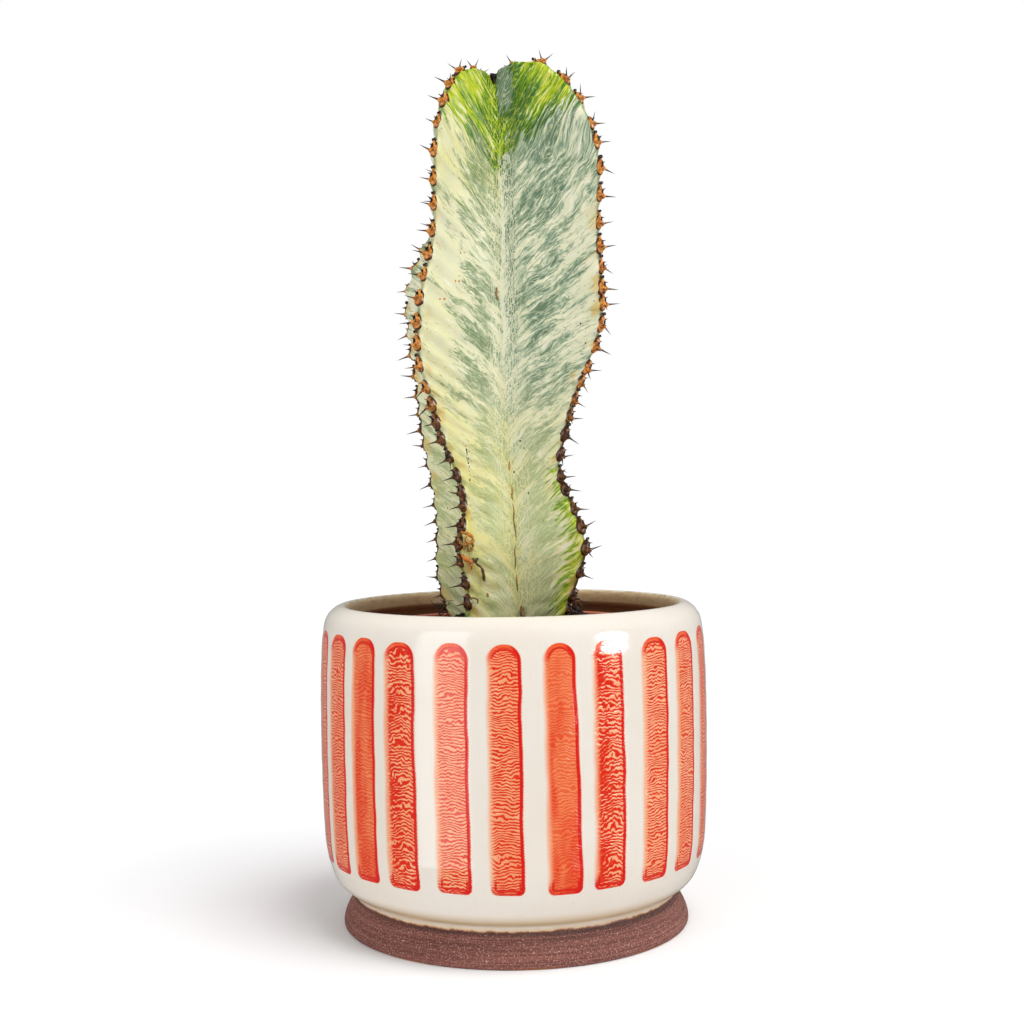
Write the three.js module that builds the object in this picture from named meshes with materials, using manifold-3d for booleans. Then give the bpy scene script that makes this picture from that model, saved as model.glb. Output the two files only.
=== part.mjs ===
// A four-ribbed marbled candelabra tree in its grow pot, standing in a glazed stoneware pot.
// Millimetres, +Z up. The origin is on the pot's axis, at the surface that its foot stands on.
// The front, which the finest face of the stem looks at, is -Y.

import * as THREE from "three";
import { mergeVertices } from "three/addons/utils/BufferGeometryUtils.js";
import Module from "manifold-3d";

const wasm = await Module();
wasm.setup();

// Driving dimensions
const POT_RADIUS = 85;
const POT_HEIGHT = 140;
const FOOT_RADIUS = 76.2;
const NECK_RADIUS = 71.2;
const NECK_HEIGHT = 13;
const POT_FLOOR = 16;
const POT_INSIDE_RADIUS = 79;
const GROW_POT_RIM_RADIUS = 64;
const GROW_POT_RIM_HEIGHT = 130.3;
const GROW_POT_BASE_RADIUS = 46;
const GROW_POT_WALL = 1.4;
const SOIL_EDGE_HEIGHT = 123;
const SOIL_HEAP_HEIGHT = 134;
const STEM_BOTTOM = 108;
const STEM_TIP = 368;
const RIB_HALF_THICKNESS = 2.5;
const GAP = 0.35;

// How finely the round and the repeated forms are cut
const POT_SEGMENTS = 48;
const GROW_POT_SEGMENTS = 40;
const SOIL_SEGMENTS = 32;

// The draws that make no two spine shields alike come from this seeded generator.
let seed = 20417;
function random(low, high) {
  seed = (seed * 16807) % 2147483647;
  return low + ((high - low) * seed) / 2147483647;
}

function solidFrom(geometry) {
  const bare = geometry.clone();
  bare.deleteAttribute("normal");
  bare.deleteAttribute("uv");
  const merged = mergeVertices(bare, 1e-4);
  return new wasm.Manifold(
    new wasm.Mesh({
      numProp: 3,
      vertProperties: new Float32Array(merged.attributes.position.array),
      triVerts: new Uint32Array(merged.index.array),
    }),
  );
}

function geometryFrom(solid) {
  const mesh = solid.getMesh();
  const geometry = new THREE.BufferGeometry();
  geometry.setAttribute(
    "position",
    new THREE.BufferAttribute(mesh.vertProperties, 3),
  );
  geometry.setIndex(new THREE.BufferAttribute(mesh.triVerts, 1));
  geometry.computeVertexNormals();
  return geometry;
}

// A lathe turns its profile round Y; this stands the result up along Z.
// The profile runs [radius, height] anticlockwise, from the axis or a closed loop.
function turned(profile, segments) {
  const points = profile.map(([r, z]) => new THREE.Vector2(r, z));
  const geometry = new THREE.LatheGeometry(points, segments);
  geometry.rotateX(Math.PI / 2);
  return geometry;
}

// The value at x of a smooth line that is level at each of its [x, value] keys.
function eased(keys, x) {
  const last = keys.length - 1;
  if (x <= keys[0][0]) return keys[0][1];
  if (x >= keys[last][0]) return keys[last][1];
  const next = keys.findIndex((key) => key[0] > x);
  const [x0, v0] = keys[next - 1];
  const [x1, v1] = keys[next];
  return THREE.MathUtils.lerp(v0, v1, THREE.MathUtils.smoothstep(x, x0, x1));
}

// Outer pot: one turned and fired piece. The wall is upright with a soft shoulder, the rim is
// rolled inwards over an undercut, the belly draws in to a neck, and the foot flares out again.
function potGeometry() {
  const recessRadius = FOOT_RADIUS - 17;
  const recessHeight = 5;
  const belly = [
    [NECK_RADIUS, NECK_HEIGHT],
    [NECK_RADIUS + 0.6, NECK_HEIGHT + 2.2],
    [NECK_RADIUS + 3.4, NECK_HEIGHT + 4.5],
    [NECK_RADIUS + 5.7, NECK_HEIGHT + 6],
    [POT_RADIUS - 5.6, 21.8],
    [POT_RADIUS - 3.7, 26],
    [POT_RADIUS - 2.2, 31.5],
    [POT_RADIUS - 1.2, 38.5],
    [POT_RADIUS - 0.5, 52],
    [POT_RADIUS, 75],
    [POT_RADIUS, 98],
    [POT_RADIUS - 0.4, 115],
    [POT_RADIUS - 1.2, 127],
  ];
  const rim = [
    [POT_RADIUS - 2.5, POT_HEIGHT - 6.2],
    [POT_RADIUS - 4.4, POT_HEIGHT - 3],
    [POT_RADIUS - 7.2, POT_HEIGHT - 0.8],
    [POT_RADIUS - 10, POT_HEIGHT],
    [POT_RADIUS - 11.6, POT_HEIGHT - 0.8],
    [POT_RADIUS - 13, POT_HEIGHT - 3],
    [POT_RADIUS - 13.8, POT_HEIGHT - 6],
    [POT_RADIUS - 12.6, POT_HEIGHT - 7],
  ];
  const inside = [
    [POT_INSIDE_RADIUS - 2.2, POT_HEIGHT - 9.2],
    [POT_INSIDE_RADIUS, POT_HEIGHT - 15],
    [POT_INSIDE_RADIUS, 48],
    [POT_INSIDE_RADIUS - 1.6, 34],
    [POT_INSIDE_RADIUS - 5, 25],
    [POT_INSIDE_RADIUS - 11, POT_FLOOR + 2],
    [POT_INSIDE_RADIUS - 18, POT_FLOOR],
    [0, POT_FLOOR],
  ];
  const profile = [
    [0, recessHeight],
    [recessRadius - 2, recessHeight],
    [recessRadius, recessHeight - 1.5],
    [recessRadius + 1, 0],
    [FOOT_RADIUS - 1, 0],
    [FOOT_RADIUS, 1],
    [FOOT_RADIUS - 0.3, 3.4],
    [FOOT_RADIUS - 1.4, 6.4],
    [FOOT_RADIUS - 3, 9.4],
    ...belly,
    ...rim,
    ...inside,
  ];
  return turned(profile, POT_SEGMENTS);
}

// The height that the grow pot's floor stands at, clear of the outer pot's floor
const GROW_POT_FOOT = POT_FLOOR + GAP;

// The grow pot's outer wall tapers straight from its base to the step under its rim.
function growPotWallRadius(z) {
  const share = (z - GROW_POT_FOOT) / (GROW_POT_RIM_HEIGHT - GROW_POT_FOOT);
  return THREE.MathUtils.lerp(
    GROW_POT_BASE_RADIUS,
    GROW_POT_RIM_RADIUS - 2.6,
    share,
  );
}

// Grow pot: thin moulded plastic with a deep stiffened rim and a ring of drain holes.
function growPotSolid() {
  const rimDepth = 11;
  const step = GROW_POT_RIM_HEIGHT - rimDepth;
  const floorTop = GROW_POT_FOOT + 1.6;
  const profile = [
    [0, GROW_POT_FOOT],
    [GROW_POT_BASE_RADIUS - 1.5, GROW_POT_FOOT],
    [GROW_POT_BASE_RADIUS, GROW_POT_FOOT + 2],
    [growPotWallRadius(step), step],
    [GROW_POT_RIM_RADIUS - 0.9, step + 0.3],
    [GROW_POT_RIM_RADIUS - 0.4, GROW_POT_RIM_HEIGHT - 2],
    [GROW_POT_RIM_RADIUS, GROW_POT_RIM_HEIGHT - 1],
    [GROW_POT_RIM_RADIUS - 0.5, GROW_POT_RIM_HEIGHT],
    [GROW_POT_RIM_RADIUS - 2.2, GROW_POT_RIM_HEIGHT],
    [growPotWallRadius(step) - GROW_POT_WALL, step - 2],
    [growPotWallRadius(floorTop) - GROW_POT_WALL, floorTop],
    [0, floorTop],
  ];
  const holes = 8;
  const holeRadius = 4;
  const holeCircle = GROW_POT_BASE_RADIUS * 0.72;
  let solid = solidFrom(turned(profile, GROW_POT_SEGMENTS));
  for (let i = 0; i < holes; i += 1) {
    const angle = (i * 2 * Math.PI) / holes;
    const punch = new THREE.CylinderGeometry(holeRadius, holeRadius, 8, 10);
    punch.rotateX(Math.PI / 2);
    punch.translate(
      holeCircle * Math.cos(angle),
      holeCircle * Math.sin(angle),
      GROW_POT_FOOT,
    );
    solid = solid.subtract(solidFrom(punch));
  }
  return solid;
}

// Stem: the keys are [radius from the stem's axis, height]. Each rib's edge rises out of the soil,
// swells and narrows with each season's growth, and arches over the top down into the tip.
const TIP = [0, STEM_TIP];
const ribs = [
  {
    azimuth: 232,
    edge: [
      [14, STEM_BOTTOM],
      [25, 118],
      [32, 134],
      [33.2, 148],
      [38.1, 165],
      [33, 182],
      [35.2, 197],
      [43, 212],
      [48, 228],
      [54.5, 244],
      [54.8, 264],
      [49.5, 282],
      [44.2, 300],
      [42.3, 325],
      [40, 340],
      [34.8, 353],
      [29, 363],
      [22.5, 369.5],
      [15, 371.8],
      [7, 370.8],
      TIP,
    ],
  },
  {
    azimuth: 322,
    edge: [
      [13, STEM_BOTTOM],
      [22, 118],
      [28, 134],
      [34.5, 150],
      [39.4, 166],
      [34.5, 181],
      [29, 197],
      [33.4, 212],
      [41, 230],
      [49.5, 246],
      [54.8, 260],
      [55, 280],
      [54, 300],
      [55.2, 328],
      [51.2, 345],
      [44.5, 357],
      [35.5, 367],
      [25, 373.6],
      [14, 374.6],
      [6, 372.5],
      TIP,
    ],
  },
  {
    azimuth: 54,
    edge: [
      [14, STEM_BOTTOM],
      [24, 118],
      [32, 134],
      [38, 155],
      [37, 185],
      [36, 203],
      [42, 225],
      [48, 250],
      [50, 280],
      [48, 312],
      [44.5, 338],
      [36, 355],
      [24, 367],
      [12, 371],
      [5, 370],
      TIP,
    ],
  },
  {
    azimuth: 144,
    edge: [
      [16, STEM_BOTTOM],
      [28, 118],
      [37, 134],
      [42.6, 152],
      [42, 180],
      [45.2, 212],
      [47.8, 240],
      [51.6, 262],
      [51.4, 284],
      [43.5, 298],
      [36.5, 311],
      [33.5, 325],
      [30, 342],
      [24, 356],
      [15, 366],
      [7, 369.5],
      TIP,
    ],
  },
];
const VALLEY = [
  [9, STEM_BOTTOM],
  [12, 118],
  [14.5, 134],
  [15, 160],
  [13.5, 200],
  [13.5, 240],
  [13, 280],
  [12.5, 320],
  [11.5, 345],
  [9.5, 358],
  [6, 365.5],
  [2.5, 367.6],
  TIP,
];
// The stem leans a little to the left above its narrow waist: [height, x of its axis].
const LEAN = [
  [160, 1],
  [235, -3.9],
  [300, -4],
  [STEM_TIP, -5.5],
];

function meridian(keys) {
  const points = keys.map(([r, z]) => new THREE.Vector3(r, 0, z));
  const curve = new THREE.CatmullRomCurve3(points, false, "centripetal");
  curve.arcLengthDivisions = 800;
  return curve;
}
for (const rib of ribs) rib.curve = meridian(rib.edge);
const valleyCurve = meridian(VALLEY);

function onStem(azimuth, radius, aside, height) {
  const angle = THREE.MathUtils.degToRad(azimuth);
  return new THREE.Vector3(
    eased(LEAN, height) + radius * Math.cos(angle) - aside * Math.sin(angle),
    radius * Math.sin(angle) + aside * Math.cos(angle),
    height,
  );
}

// Where the spine shields sit, as shares of a rib's length from the stem's bottom to its tip.
// They stand closest low down and widest apart below the shoulders: [share, spacing in mm].
const SHIELD_SPACING = [
  [0.1, 8],
  [0.45, 8.4],
  [0.6, 9.6],
  [0.76, 11.6],
  [0.88, 11],
  [1, 5.5],
];
const FIRST_SHIELD = 0.118;
const LAST_SHIELD = 0.975;
const ribLength = ribs[0].curve.getLength();
const shieldShares = [];
for (let share = FIRST_SHIELD; share < LAST_SHIELD; ) {
  shieldShares.push(share);
  share += (eased(SHIELD_SPACING, share) / ribLength) * random(0.9, 1.1);
}

// Every second rib carries its shields half a step higher.
function shieldSharesOf(ribIndex) {
  if (ribIndex % 2 === 0) return shieldShares;
  const last = shieldShares.length - 1;
  return shieldShares.slice(0, last).map((s, i) => (s + shieldShares[i + 1]) / 2);
}

// One ring of the stem's skin, a share of the way from its bottom to its tip. It passes over each
// rib's edge and lower through the valleys between, as the ridges of the skin do. The edge stands
// out at a spine shield and is notched half-way to the next one. Clearance swells the ring.
const NOTCH = 1.1;
function stemRing(share, edgeSwell, clearance) {
  const ring = [];
  const valley = valleyCurve.getPointAt(share);
  ribs.forEach((rib, index) => {
    const edge = rib.curve.getPointAt(share);
    const before = ribs[(index + 3) % 4].azimuth;
    const after = ribs[(index + 1) % 4].azimuth;
    const halfBefore = ((rib.azimuth - before + 360) % 360) / 2;
    const halfAfter = ((after - rib.azimuth + 360) % 360) / 2;
    const swell = edge.x > 12 ? edgeSwell[index] : 0;
    const radius = edge.x - swell + clearance;
    const half = Math.min(RIB_HALF_THICKNESS, 0.35 * edge.x) + clearance;
    // The flank bends in between the edge and the valley, nearer to the edge's own thickness.
    const flank = (side, halfAngle) => {
      const angle = THREE.MathUtils.degToRad(halfAngle);
      const rootOut = (valley.x + clearance) * Math.cos(angle);
      const rootAside = (valley.x + clearance) * Math.sin(angle);
      const out = THREE.MathUtils.lerp(rootOut, radius, 0.45);
      const aside = THREE.MathUtils.lerp(half, rootAside, 0.42);
      const height = THREE.MathUtils.lerp(valley.z, edge.z, 0.45);
      return onStem(rib.azimuth, out, side * aside, height);
    };
    ring.push(flank(-1, halfBefore));
    ring.push(onStem(rib.azimuth, radius - 0.35 * half, -half, edge.z));
    ring.push(onStem(rib.azimuth, radius + 0.2 * half, 0, edge.z));
    ring.push(onStem(rib.azimuth, radius - 0.35 * half, half, edge.z));
    ring.push(flank(1, halfAfter));
    const between = rib.azimuth + halfAfter;
    ring.push(onStem(between, valley.x + clearance, 0, valley.z));
  });
  return ring;
}

// Closes a stack of rings, lowest first, with a flat fan below and a fan to one point above.
function skinned(rings, bottom, top) {
  const count = rings[0].length;
  const positions = [bottom, ...rings.flat(), top].flatMap((p) => p.toArray());
  const topIndex = rings.length * count + 1;
  const faces = [];
  for (let j = 0; j < count; j += 1) {
    const next = (j + 1) % count;
    faces.push(0, 1 + next, 1 + j);
    for (let i = 0; i < rings.length - 1; i += 1) {
      const a = 1 + i * count + j;
      const b = 1 + i * count + next;
      faces.push(a, b, b + count, a, b + count, a + count);
    }
    const start = 1 + (rings.length - 1) * count;
    faces.push(start + j, start + next, topIndex);
  }
  const geometry = new THREE.BufferGeometry();
  geometry.setAttribute(
    "position",
    new THREE.Float32BufferAttribute(positions, 3),
  );
  geometry.setIndex(faces);
  return geometry;
}

// Rings of the buried end and of the first growth, up to the first shields
const BURIED_SHARES = [0, 0.035, 0.07, 0.095];

function stemBodySolid() {
  const rings = BURIED_SHARES.map((share) => stemRing(share, [0, 0, 0, 0], 0));
  shieldShares.forEach((share, i) => {
    rings.push(stemRing(share, [0, NOTCH, 0, NOTCH], 0));
    if (i + 1 < shieldShares.length) {
      const middle = (share + shieldShares[i + 1]) / 2;
      rings.push(stemRing(middle, [NOTCH, 0, NOTCH, 0], 0));
    }
  });
  const bottom = onStem(0, 0, 0, STEM_BOTTOM);
  const top = onStem(0, 0, 0, STEM_TIP);
  return solidFrom(skinned(rings, bottom, top));
}

// The room that the soil leaves for the buried end of the stem
function plantingHoleSolid() {
  const shares = [...BURIED_SHARES, FIRST_SHIELD];
  const rings = shares.map((share) => stemRing(share, [0, 0, 0, 0], GAP));
  for (const point of rings[0]) point.z -= GAP;
  const bottom = onStem(0, 0, 0, STEM_BOTTOM - GAP);
  const top = onStem(0, 0, 0, 160);
  return solidFrom(skinned(rings, bottom, top));
}

// A spine shield is a horny teardrop plate on the rib's edge, point upwards.
const SHIELD_HALF_WIDTH = 2.5;
const SHIELD_HALF_LENGTH = 4;
const SHIELD_HALF_DEPTH = 2.1;
const SPINE_LENGTH = 6.4;
const SPINE_RADIUS = 0.75;

// Its own axes are X across the rib, Y up along the edge and Z out of it.
function shieldGeometries(size) {
  const plate = new THREE.ConeGeometry(1, 2, 6);
  plate.rotateX(Math.PI / 2);
  plate.scale(SHIELD_HALF_WIDTH, SHIELD_HALF_LENGTH, SHIELD_HALF_DEPTH);
  plate.scale(size, size, size);
  const pieces = [plate];
  for (const side of [-1, 1]) {
    const spine = new THREE.ConeGeometry(SPINE_RADIUS, SPINE_LENGTH * size, 3);
    spine.translate(0, (SPINE_LENGTH * size) / 2, 0);
    spine.rotateX(THREE.MathUtils.degToRad(90 + random(-14, 10)));
    spine.rotateY(THREE.MathUtils.degToRad(side * random(34, 46)));
    spine.rotateZ(THREE.MathUtils.degToRad(random(-16, 16)));
    spine.translate(side * 0.3 * SHIELD_HALF_WIDTH, -0.15 * SHIELD_HALF_LENGTH, 0);
    pieces.push(spine);
  }
  return pieces;
}

function shieldSolids(rib, share) {
  const at = rib.curve.getPointAt(share);
  const along = rib.curve.getTangentAt(share);
  const angle = THREE.MathUtils.degToRad(rib.azimuth);
  const outward = new THREE.Vector3(Math.cos(angle), Math.sin(angle), 0);
  const upward = new THREE.Vector3(0, 0, 1);
  const yAxis = outward
    .clone()
    .multiplyScalar(along.x)
    .addScaledVector(upward, along.z);
  const zAxis = outward
    .clone()
    .multiplyScalar(along.z)
    .addScaledVector(upward, -along.x);
  const xAxis = new THREE.Vector3().crossVectors(yAxis, zAxis);
  const place = new THREE.Matrix4().makeBasis(xAxis, yAxis, zAxis);
  place.setPosition(onStem(rib.azimuth, at.x, 0, at.z));
  // The youngest shields, next to the tip, are the smallest.
  const size = share > 0.9 ? THREE.MathUtils.lerp(1, 0.6, (share - 0.9) / 0.1) : 1;
  return shieldGeometries(size).map((geometry) => {
    geometry.applyMatrix4(place);
    return solidFrom(geometry);
  });
}

function stemSolid() {
  const pieces = [stemBodySolid()];
  ribs.forEach((rib, index) => {
    for (const share of shieldSharesOf(index)) {
      pieces.push(...shieldSolids(rib, share));
    }
  });
  return wasm.Manifold.union(pieces);
}

// Soil: fills the grow pot to below its rim, and is heaped round the foot of the stem.
function soilTop(radius) {
  const heap = SOIL_HEAP_HEIGHT - SOIL_EDGE_HEIGHT;
  return SOIL_EDGE_HEIGHT + heap * Math.exp(-((radius / 42) ** 4));
}

function soilSolid() {
  const bottom = GROW_POT_FOOT + 1.6 + GAP;
  const side = (z) => growPotWallRadius(z) - GROW_POT_WALL - GAP;
  const topRadii = [56, 50, 44, 38, 32, 26, 18, 0];
  const profile = [
    [0, bottom],
    [side(bottom) - 0.6, bottom],
    [side(SOIL_EDGE_HEIGHT - 8) - 0.6, SOIL_EDGE_HEIGHT - 8],
    [side(SOIL_EDGE_HEIGHT - 8) - 0.4, SOIL_EDGE_HEIGHT - 2],
    ...topRadii.map((r) => [r, soilTop(r)]),
  ];
  return solidFrom(turned(profile, SOIL_SEGMENTS)).subtract(plantingHoleSolid());
}

function piece(name, geometry, color, roughness) {
  const material = new THREE.MeshStandardMaterial({
    color,
    roughness,
    metalness: 0,
  });
  const mesh = new THREE.Mesh(geometry, material);
  mesh.name = name;
  return mesh;
}

const plant = new THREE.Group();
plant.add(piece("pot", potGeometry(), 0xefe6da, 0.15));
plant.add(piece("nursery_pot", geometryFrom(growPotSolid()), 0xa8452e, 0.5));
plant.add(piece("soil", geometryFrom(soilSolid()), 0x35261c, 0.95));
plant.add(piece("stem", geometryFrom(stemSolid()), 0xbcc796, 0.45));

export default plant;
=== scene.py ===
import bpy
import numpy as np
from mathutils import Matrix, Vector


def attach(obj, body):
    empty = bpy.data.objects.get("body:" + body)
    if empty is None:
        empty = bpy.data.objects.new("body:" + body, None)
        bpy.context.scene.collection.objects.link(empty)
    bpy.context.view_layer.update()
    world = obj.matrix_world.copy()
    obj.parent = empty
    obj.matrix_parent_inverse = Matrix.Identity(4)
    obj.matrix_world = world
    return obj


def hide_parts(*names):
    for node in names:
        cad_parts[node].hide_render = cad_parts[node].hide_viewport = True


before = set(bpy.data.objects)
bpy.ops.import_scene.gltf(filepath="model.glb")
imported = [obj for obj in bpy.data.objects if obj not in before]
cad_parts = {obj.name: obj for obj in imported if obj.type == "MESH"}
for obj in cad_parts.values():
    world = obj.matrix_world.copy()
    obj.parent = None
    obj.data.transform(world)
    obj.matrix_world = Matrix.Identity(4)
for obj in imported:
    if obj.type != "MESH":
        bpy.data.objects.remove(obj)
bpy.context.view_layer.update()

# Table top, lights and camera
# The potted plant stands on a plain white table top in an even white studio. A tall box of soft
# light stands to the left of it, low down, and a smaller one to the right, higher up.
MM = 0.001
TABLE_RADIUS = 4.0
TABLE_SIDES = 96


def srgb(red, green, blue):
    """The linear colour, with alpha 1, of a colour given as 0 to 255 on a screen."""
    share = np.array([red, green, blue]) / 255
    linear = np.where(share <= 0.04045, share / 12.92, ((share + 0.055) / 1.055) ** 2.4)
    return (*linear.tolist(), 1.0)


def feed(made, inputs):
    """Gives a node its inputs: plain values, or other nodes' outputs, which are linked."""
    for key, value in inputs.items():
        value = getattr(value, "socket", value)
        if isinstance(value, bpy.types.NodeSocket):
            made.id_data.links.new(value, made.inputs[key])
        else:
            made.inputs[key].default_value = value


def node(tree, kind, inputs=None, **settings):
    """Adds a shader node with its settings and its inputs."""
    made = tree.nodes.new("ShaderNode" + kind)
    for key, value in settings.items():
        setattr(made, key, value)
    feed(made, inputs or {})
    return made


def principled(name):
    """A new material: its node tree and the Principled BSDF that it shows."""
    material = bpy.data.materials.new(name)
    material.use_nodes = True
    material.node_tree.nodes.clear()
    shader = node(material.node_tree, "BsdfPrincipled")
    output = node(material.node_tree, "OutputMaterial")
    material.node_tree.links.new(shader.outputs[0], output.inputs["Surface"])
    return material, material.node_tree, shader


def piece(name, points, faces, material, smooth=True):
    """A mesh object from an array of points, in metres, and a list of the corners of each face."""
    mesh = bpy.data.meshes.new(name)
    mesh.from_pydata(points.tolist(), [], faces)
    mesh.polygons.foreach_set("use_smooth", np.full(len(faces), smooth))
    mesh.materials.append(material)
    made = bpy.data.objects.new(name, mesh)
    bpy.context.scene.collection.objects.link(made)
    return made


TABLE_WHITE = srgb(241, 242, 243)
table_finish, tree, shader = principled("white_table")
feed(shader, {"Base Color": TABLE_WHITE, "Roughness": 0.9, "Specular IOR Level": 0.0})
feed(shader, {"Emission Color": (1, 1, 1, 1), "Emission Strength": 0.02})

turn = np.linspace(0, 2 * np.pi, TABLE_SIDES, endpoint=False)
disc = np.stack([np.cos(turn), np.sin(turn), 0 * turn], 1) * TABLE_RADIUS
table = piece("table_top", disc, [list(range(TABLE_SIDES))], table_finish)
table.visible_glossy = False

world = bpy.data.worlds.new("white_studio")
world.use_nodes = True
world.node_tree.nodes.clear()
STUDIO_LIGHT = 0.56
STUDIO_SHINE = 0.3
# The studio is white to the camera, lights the plant evenly, and is dimmer in shiny surfaces.
path = node(world.node_tree, "LightPath")
inputs = {0: path.outputs["Is Glossy Ray"], 2: STUDIO_LIGHT, 3: STUDIO_SHINE}
dimmed = node(world.node_tree, "Mix", inputs, data_type="FLOAT")
inputs = {0: path.outputs["Is Camera Ray"], 2: dimmed.outputs[0], 3: 1.0}
strength = node(world.node_tree, "Mix", inputs, data_type="FLOAT")
lit = node(world.node_tree, "Background", {"Color": (1, 1, 1, 1), "Strength": strength.outputs[0]})
sky = node(world.node_tree, "OutputWorld")
world.node_tree.links.new(lit.outputs[0], sky.inputs["Surface"])
bpy.context.scene.world = world
bpy.context.scene.view_settings.view_transform = "Standard"


def box_light(name, shape, bearing, distance, height, size, radiance):
    """A flat box of light that faces the pot's axis and is seen only in shiny surfaces. Its bearing
    is in degrees right of the front; its power is its radiance times its area times pi."""
    data = bpy.data.lights.new(name, "AREA")
    data.shape = shape
    data.size, data.size_y = size
    data.energy = radiance * size[0] * size[1] * np.pi
    made = bpy.data.objects.new(name, data)
    turned = Matrix.Rotation(np.radians(bearing), 4, "Z")
    upright = Matrix.Rotation(np.radians(90), 4, "X")
    made.matrix_world = turned @ Matrix.Translation((0, -distance, height)) @ upright
    made.visible_diffuse = False
    bpy.context.scene.collection.objects.link(made)
    return made


box_light("tall_box_left", "RECTANGLE", -41, 1.2, 0.28, size=(0.62, 1.3), radiance=3.0)
box_light("small_box_right", "ELLIPSE", 59, 1.3, 0.42, size=(0.46, 0.5), radiance=26)


def broad_light(name, direction, spread, strength):
    """A far light from a direction, spread over an angle, that lights matt surfaces only."""
    data = bpy.data.lights.new(name, "SUN")
    data.angle = np.radians(spread)
    data.energy = strength * np.pi
    made = bpy.data.objects.new(name, data)
    made.matrix_world = Vector(direction).to_track_quat("Z", "Y").to_matrix().to_4x4()
    made.visible_glossy = False
    bpy.context.scene.collection.objects.link(made)
    return made


# One from high on the right gives the table its soft shadow, and a faint one fills from the left.
broad_light("high_light_right", (0.36, -0.26, 1.0), spread=32, strength=0.62)
broad_light("fill_light_left", (-0.7, -0.7, 0.5), spread=60, strength=0.14)

# The camera's place, its tilts in degrees, and its focal length in pixels of the square picture
PICTURE_SIDE = 1024
FOCAL_PIXELS = 1480
CAMERA_AT = np.array([0.46, -656.5, 194.3]) * MM
CAMERA_DOWN = 1.28
CAMERA_ROLL = -0.78

camera_data = bpy.data.cameras.new("camera")
camera_data.sensor_width = 36
camera_data.lens = 36 * FOCAL_PIXELS / PICTURE_SIDE
camera_data.clip_start = 0.01
camera = bpy.data.objects.new("camera", camera_data)
level = Matrix.Rotation(np.radians(90 - CAMERA_DOWN), 4, "X")
rolled = Matrix.Rotation(np.radians(CAMERA_ROLL), 4, "Z")
camera.matrix_world = Matrix.Translation(CAMERA_AT) @ level @ rolled
bpy.context.scene.collection.objects.link(camera)
bpy.context.scene.camera = camera
camera_axes = np.array((level @ rolled).to_3x3())


def in_picture(points):
    """Where points fall in the photograph, in pixels right and down from its top left corner."""
    local = (points - CAMERA_AT) @ camera_axes
    return PICTURE_SIDE / 2 + FOCAL_PIXELS * local[..., :2] / local[..., 2:] * (-1, 1)


# Outer pot
# Stoneware, thrown on a wheel: an upright wall with a soft shoulder and a rolled rim, drawn in to a
# neck over a flared foot. It was dipped in cream glaze down to the neck, which left the foot bare,
# after coral glaze was laid on in upright strokes with a wide brush.
POT_RADIUS = 85
POT_HEIGHT = 140
POT_FLOOR = 16
POT_COLUMNS = 352

# Each run of the profile is a smooth line through [radius, height], and runs meet in sharp corners.
RECESS_EDGE = [57.2, 5]
RING_INSIDE = [60.2, 0]
RING_OUTSIDE = [75.2, 0]
NECK = [71.2, 13]
LIP = [71.2, 134]
RECESS = [[0, 5], [30, 5], RECESS_EDGE]
RECESS_CORNER = [RECESS_EDGE, [58.8, 4.6], [59.2, 3.5], RING_INSIDE]
STANDING_RING = [RING_INSIDE, [68, 0], RING_OUTSIDE]
FOOT = [RING_OUTSIDE, [75.95, 0.3], [76.2, 1], [75.9, 3.4], [74.8, 6.4], [73.2, 9.4], NECK]
BELLY_AND_RIM = [
    NECK, [71.8, 15.2], [74.6, 17.5], [76.9, 19], [79.4, 21.8], [81.3, 26], [82.8, 31.5],
    [83.8, 38.5], [84.5, 52], [POT_RADIUS, 75], [POT_RADIUS, 98], [84.6, 115], [83.8, 127],
    [82.5, 133.8], [80.6, 137], [77.8, 139.2], [75, POT_HEIGHT], [73.4, 139.2], [72, 137], LIP,
]
INSIDE = [
    LIP, [72.4, 133], [76.8, 130.8], [79, 125], [79, 90], [79, 48], [77.4, 34], [74, 25],
    [68, 18], [61, POT_FLOOR], [30, POT_FLOOR], [0, POT_FLOOR],
]


def smooth_line(keys, shares):
    """Points at shares of the length of a centripetal Catmull-Rom curve through the keys.

    Each span is a cubic from key 1 to key 2, whose end slopes weigh the neighbouring keys by the
    square roots of the distances between them. The curve is cut finely and read off by length."""
    keys = np.asarray(keys, float)
    ends = np.vstack([2 * keys[0] - keys[1], keys, 2 * keys[-1] - keys[-2]])
    gaps = np.sqrt(np.linalg.norm(np.diff(ends, axis=0), axis=1))[:, None]
    p0, p1, p2, p3 = ends[:-3], ends[1:-2], ends[2:-1], ends[3:]
    g0, g1, g2 = gaps[:-2], gaps[1:-1], gaps[2:]
    start = g1 * ((p1 - p0) / g0 - (p2 - p0) / (g0 + g1) + (p2 - p1) / g1)
    stop = g1 * ((p2 - p1) / g1 - (p3 - p1) / (g1 + g2) + (p3 - p2) / g2)
    t = np.linspace(0, 1, 40, endpoint=False)[None, :, None]
    p1, p2, start, stop = p1[:, None], p2[:, None], start[:, None], stop[:, None]
    cubic = 2 * p1 - 2 * p2 + start + stop
    square = -3 * p1 + 3 * p2 - 2 * start - stop
    line = (((cubic * t + square) * t + start) * t + p1).reshape(-1, keys.shape[1])
    line = np.vstack([line, keys[-1]])
    length = np.append(0, np.cumsum(np.linalg.norm(np.diff(line, axis=0), axis=1)))
    at = np.asarray(shares) * length[-1]
    return np.stack([np.interp(at, length, column) for column in line.T], -1)


def profile_of(runs):
    """One profile in metres from (keys, number of steps) runs. The first point of each run after
    the first is the last point of the run before, and is left out."""
    parts = [smooth_line(keys, np.linspace(0, 1, steps + 1)) for keys, steps in runs]
    return np.vstack([parts[0]] + [part[1:] for part in parts[1:]]) * MM


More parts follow.
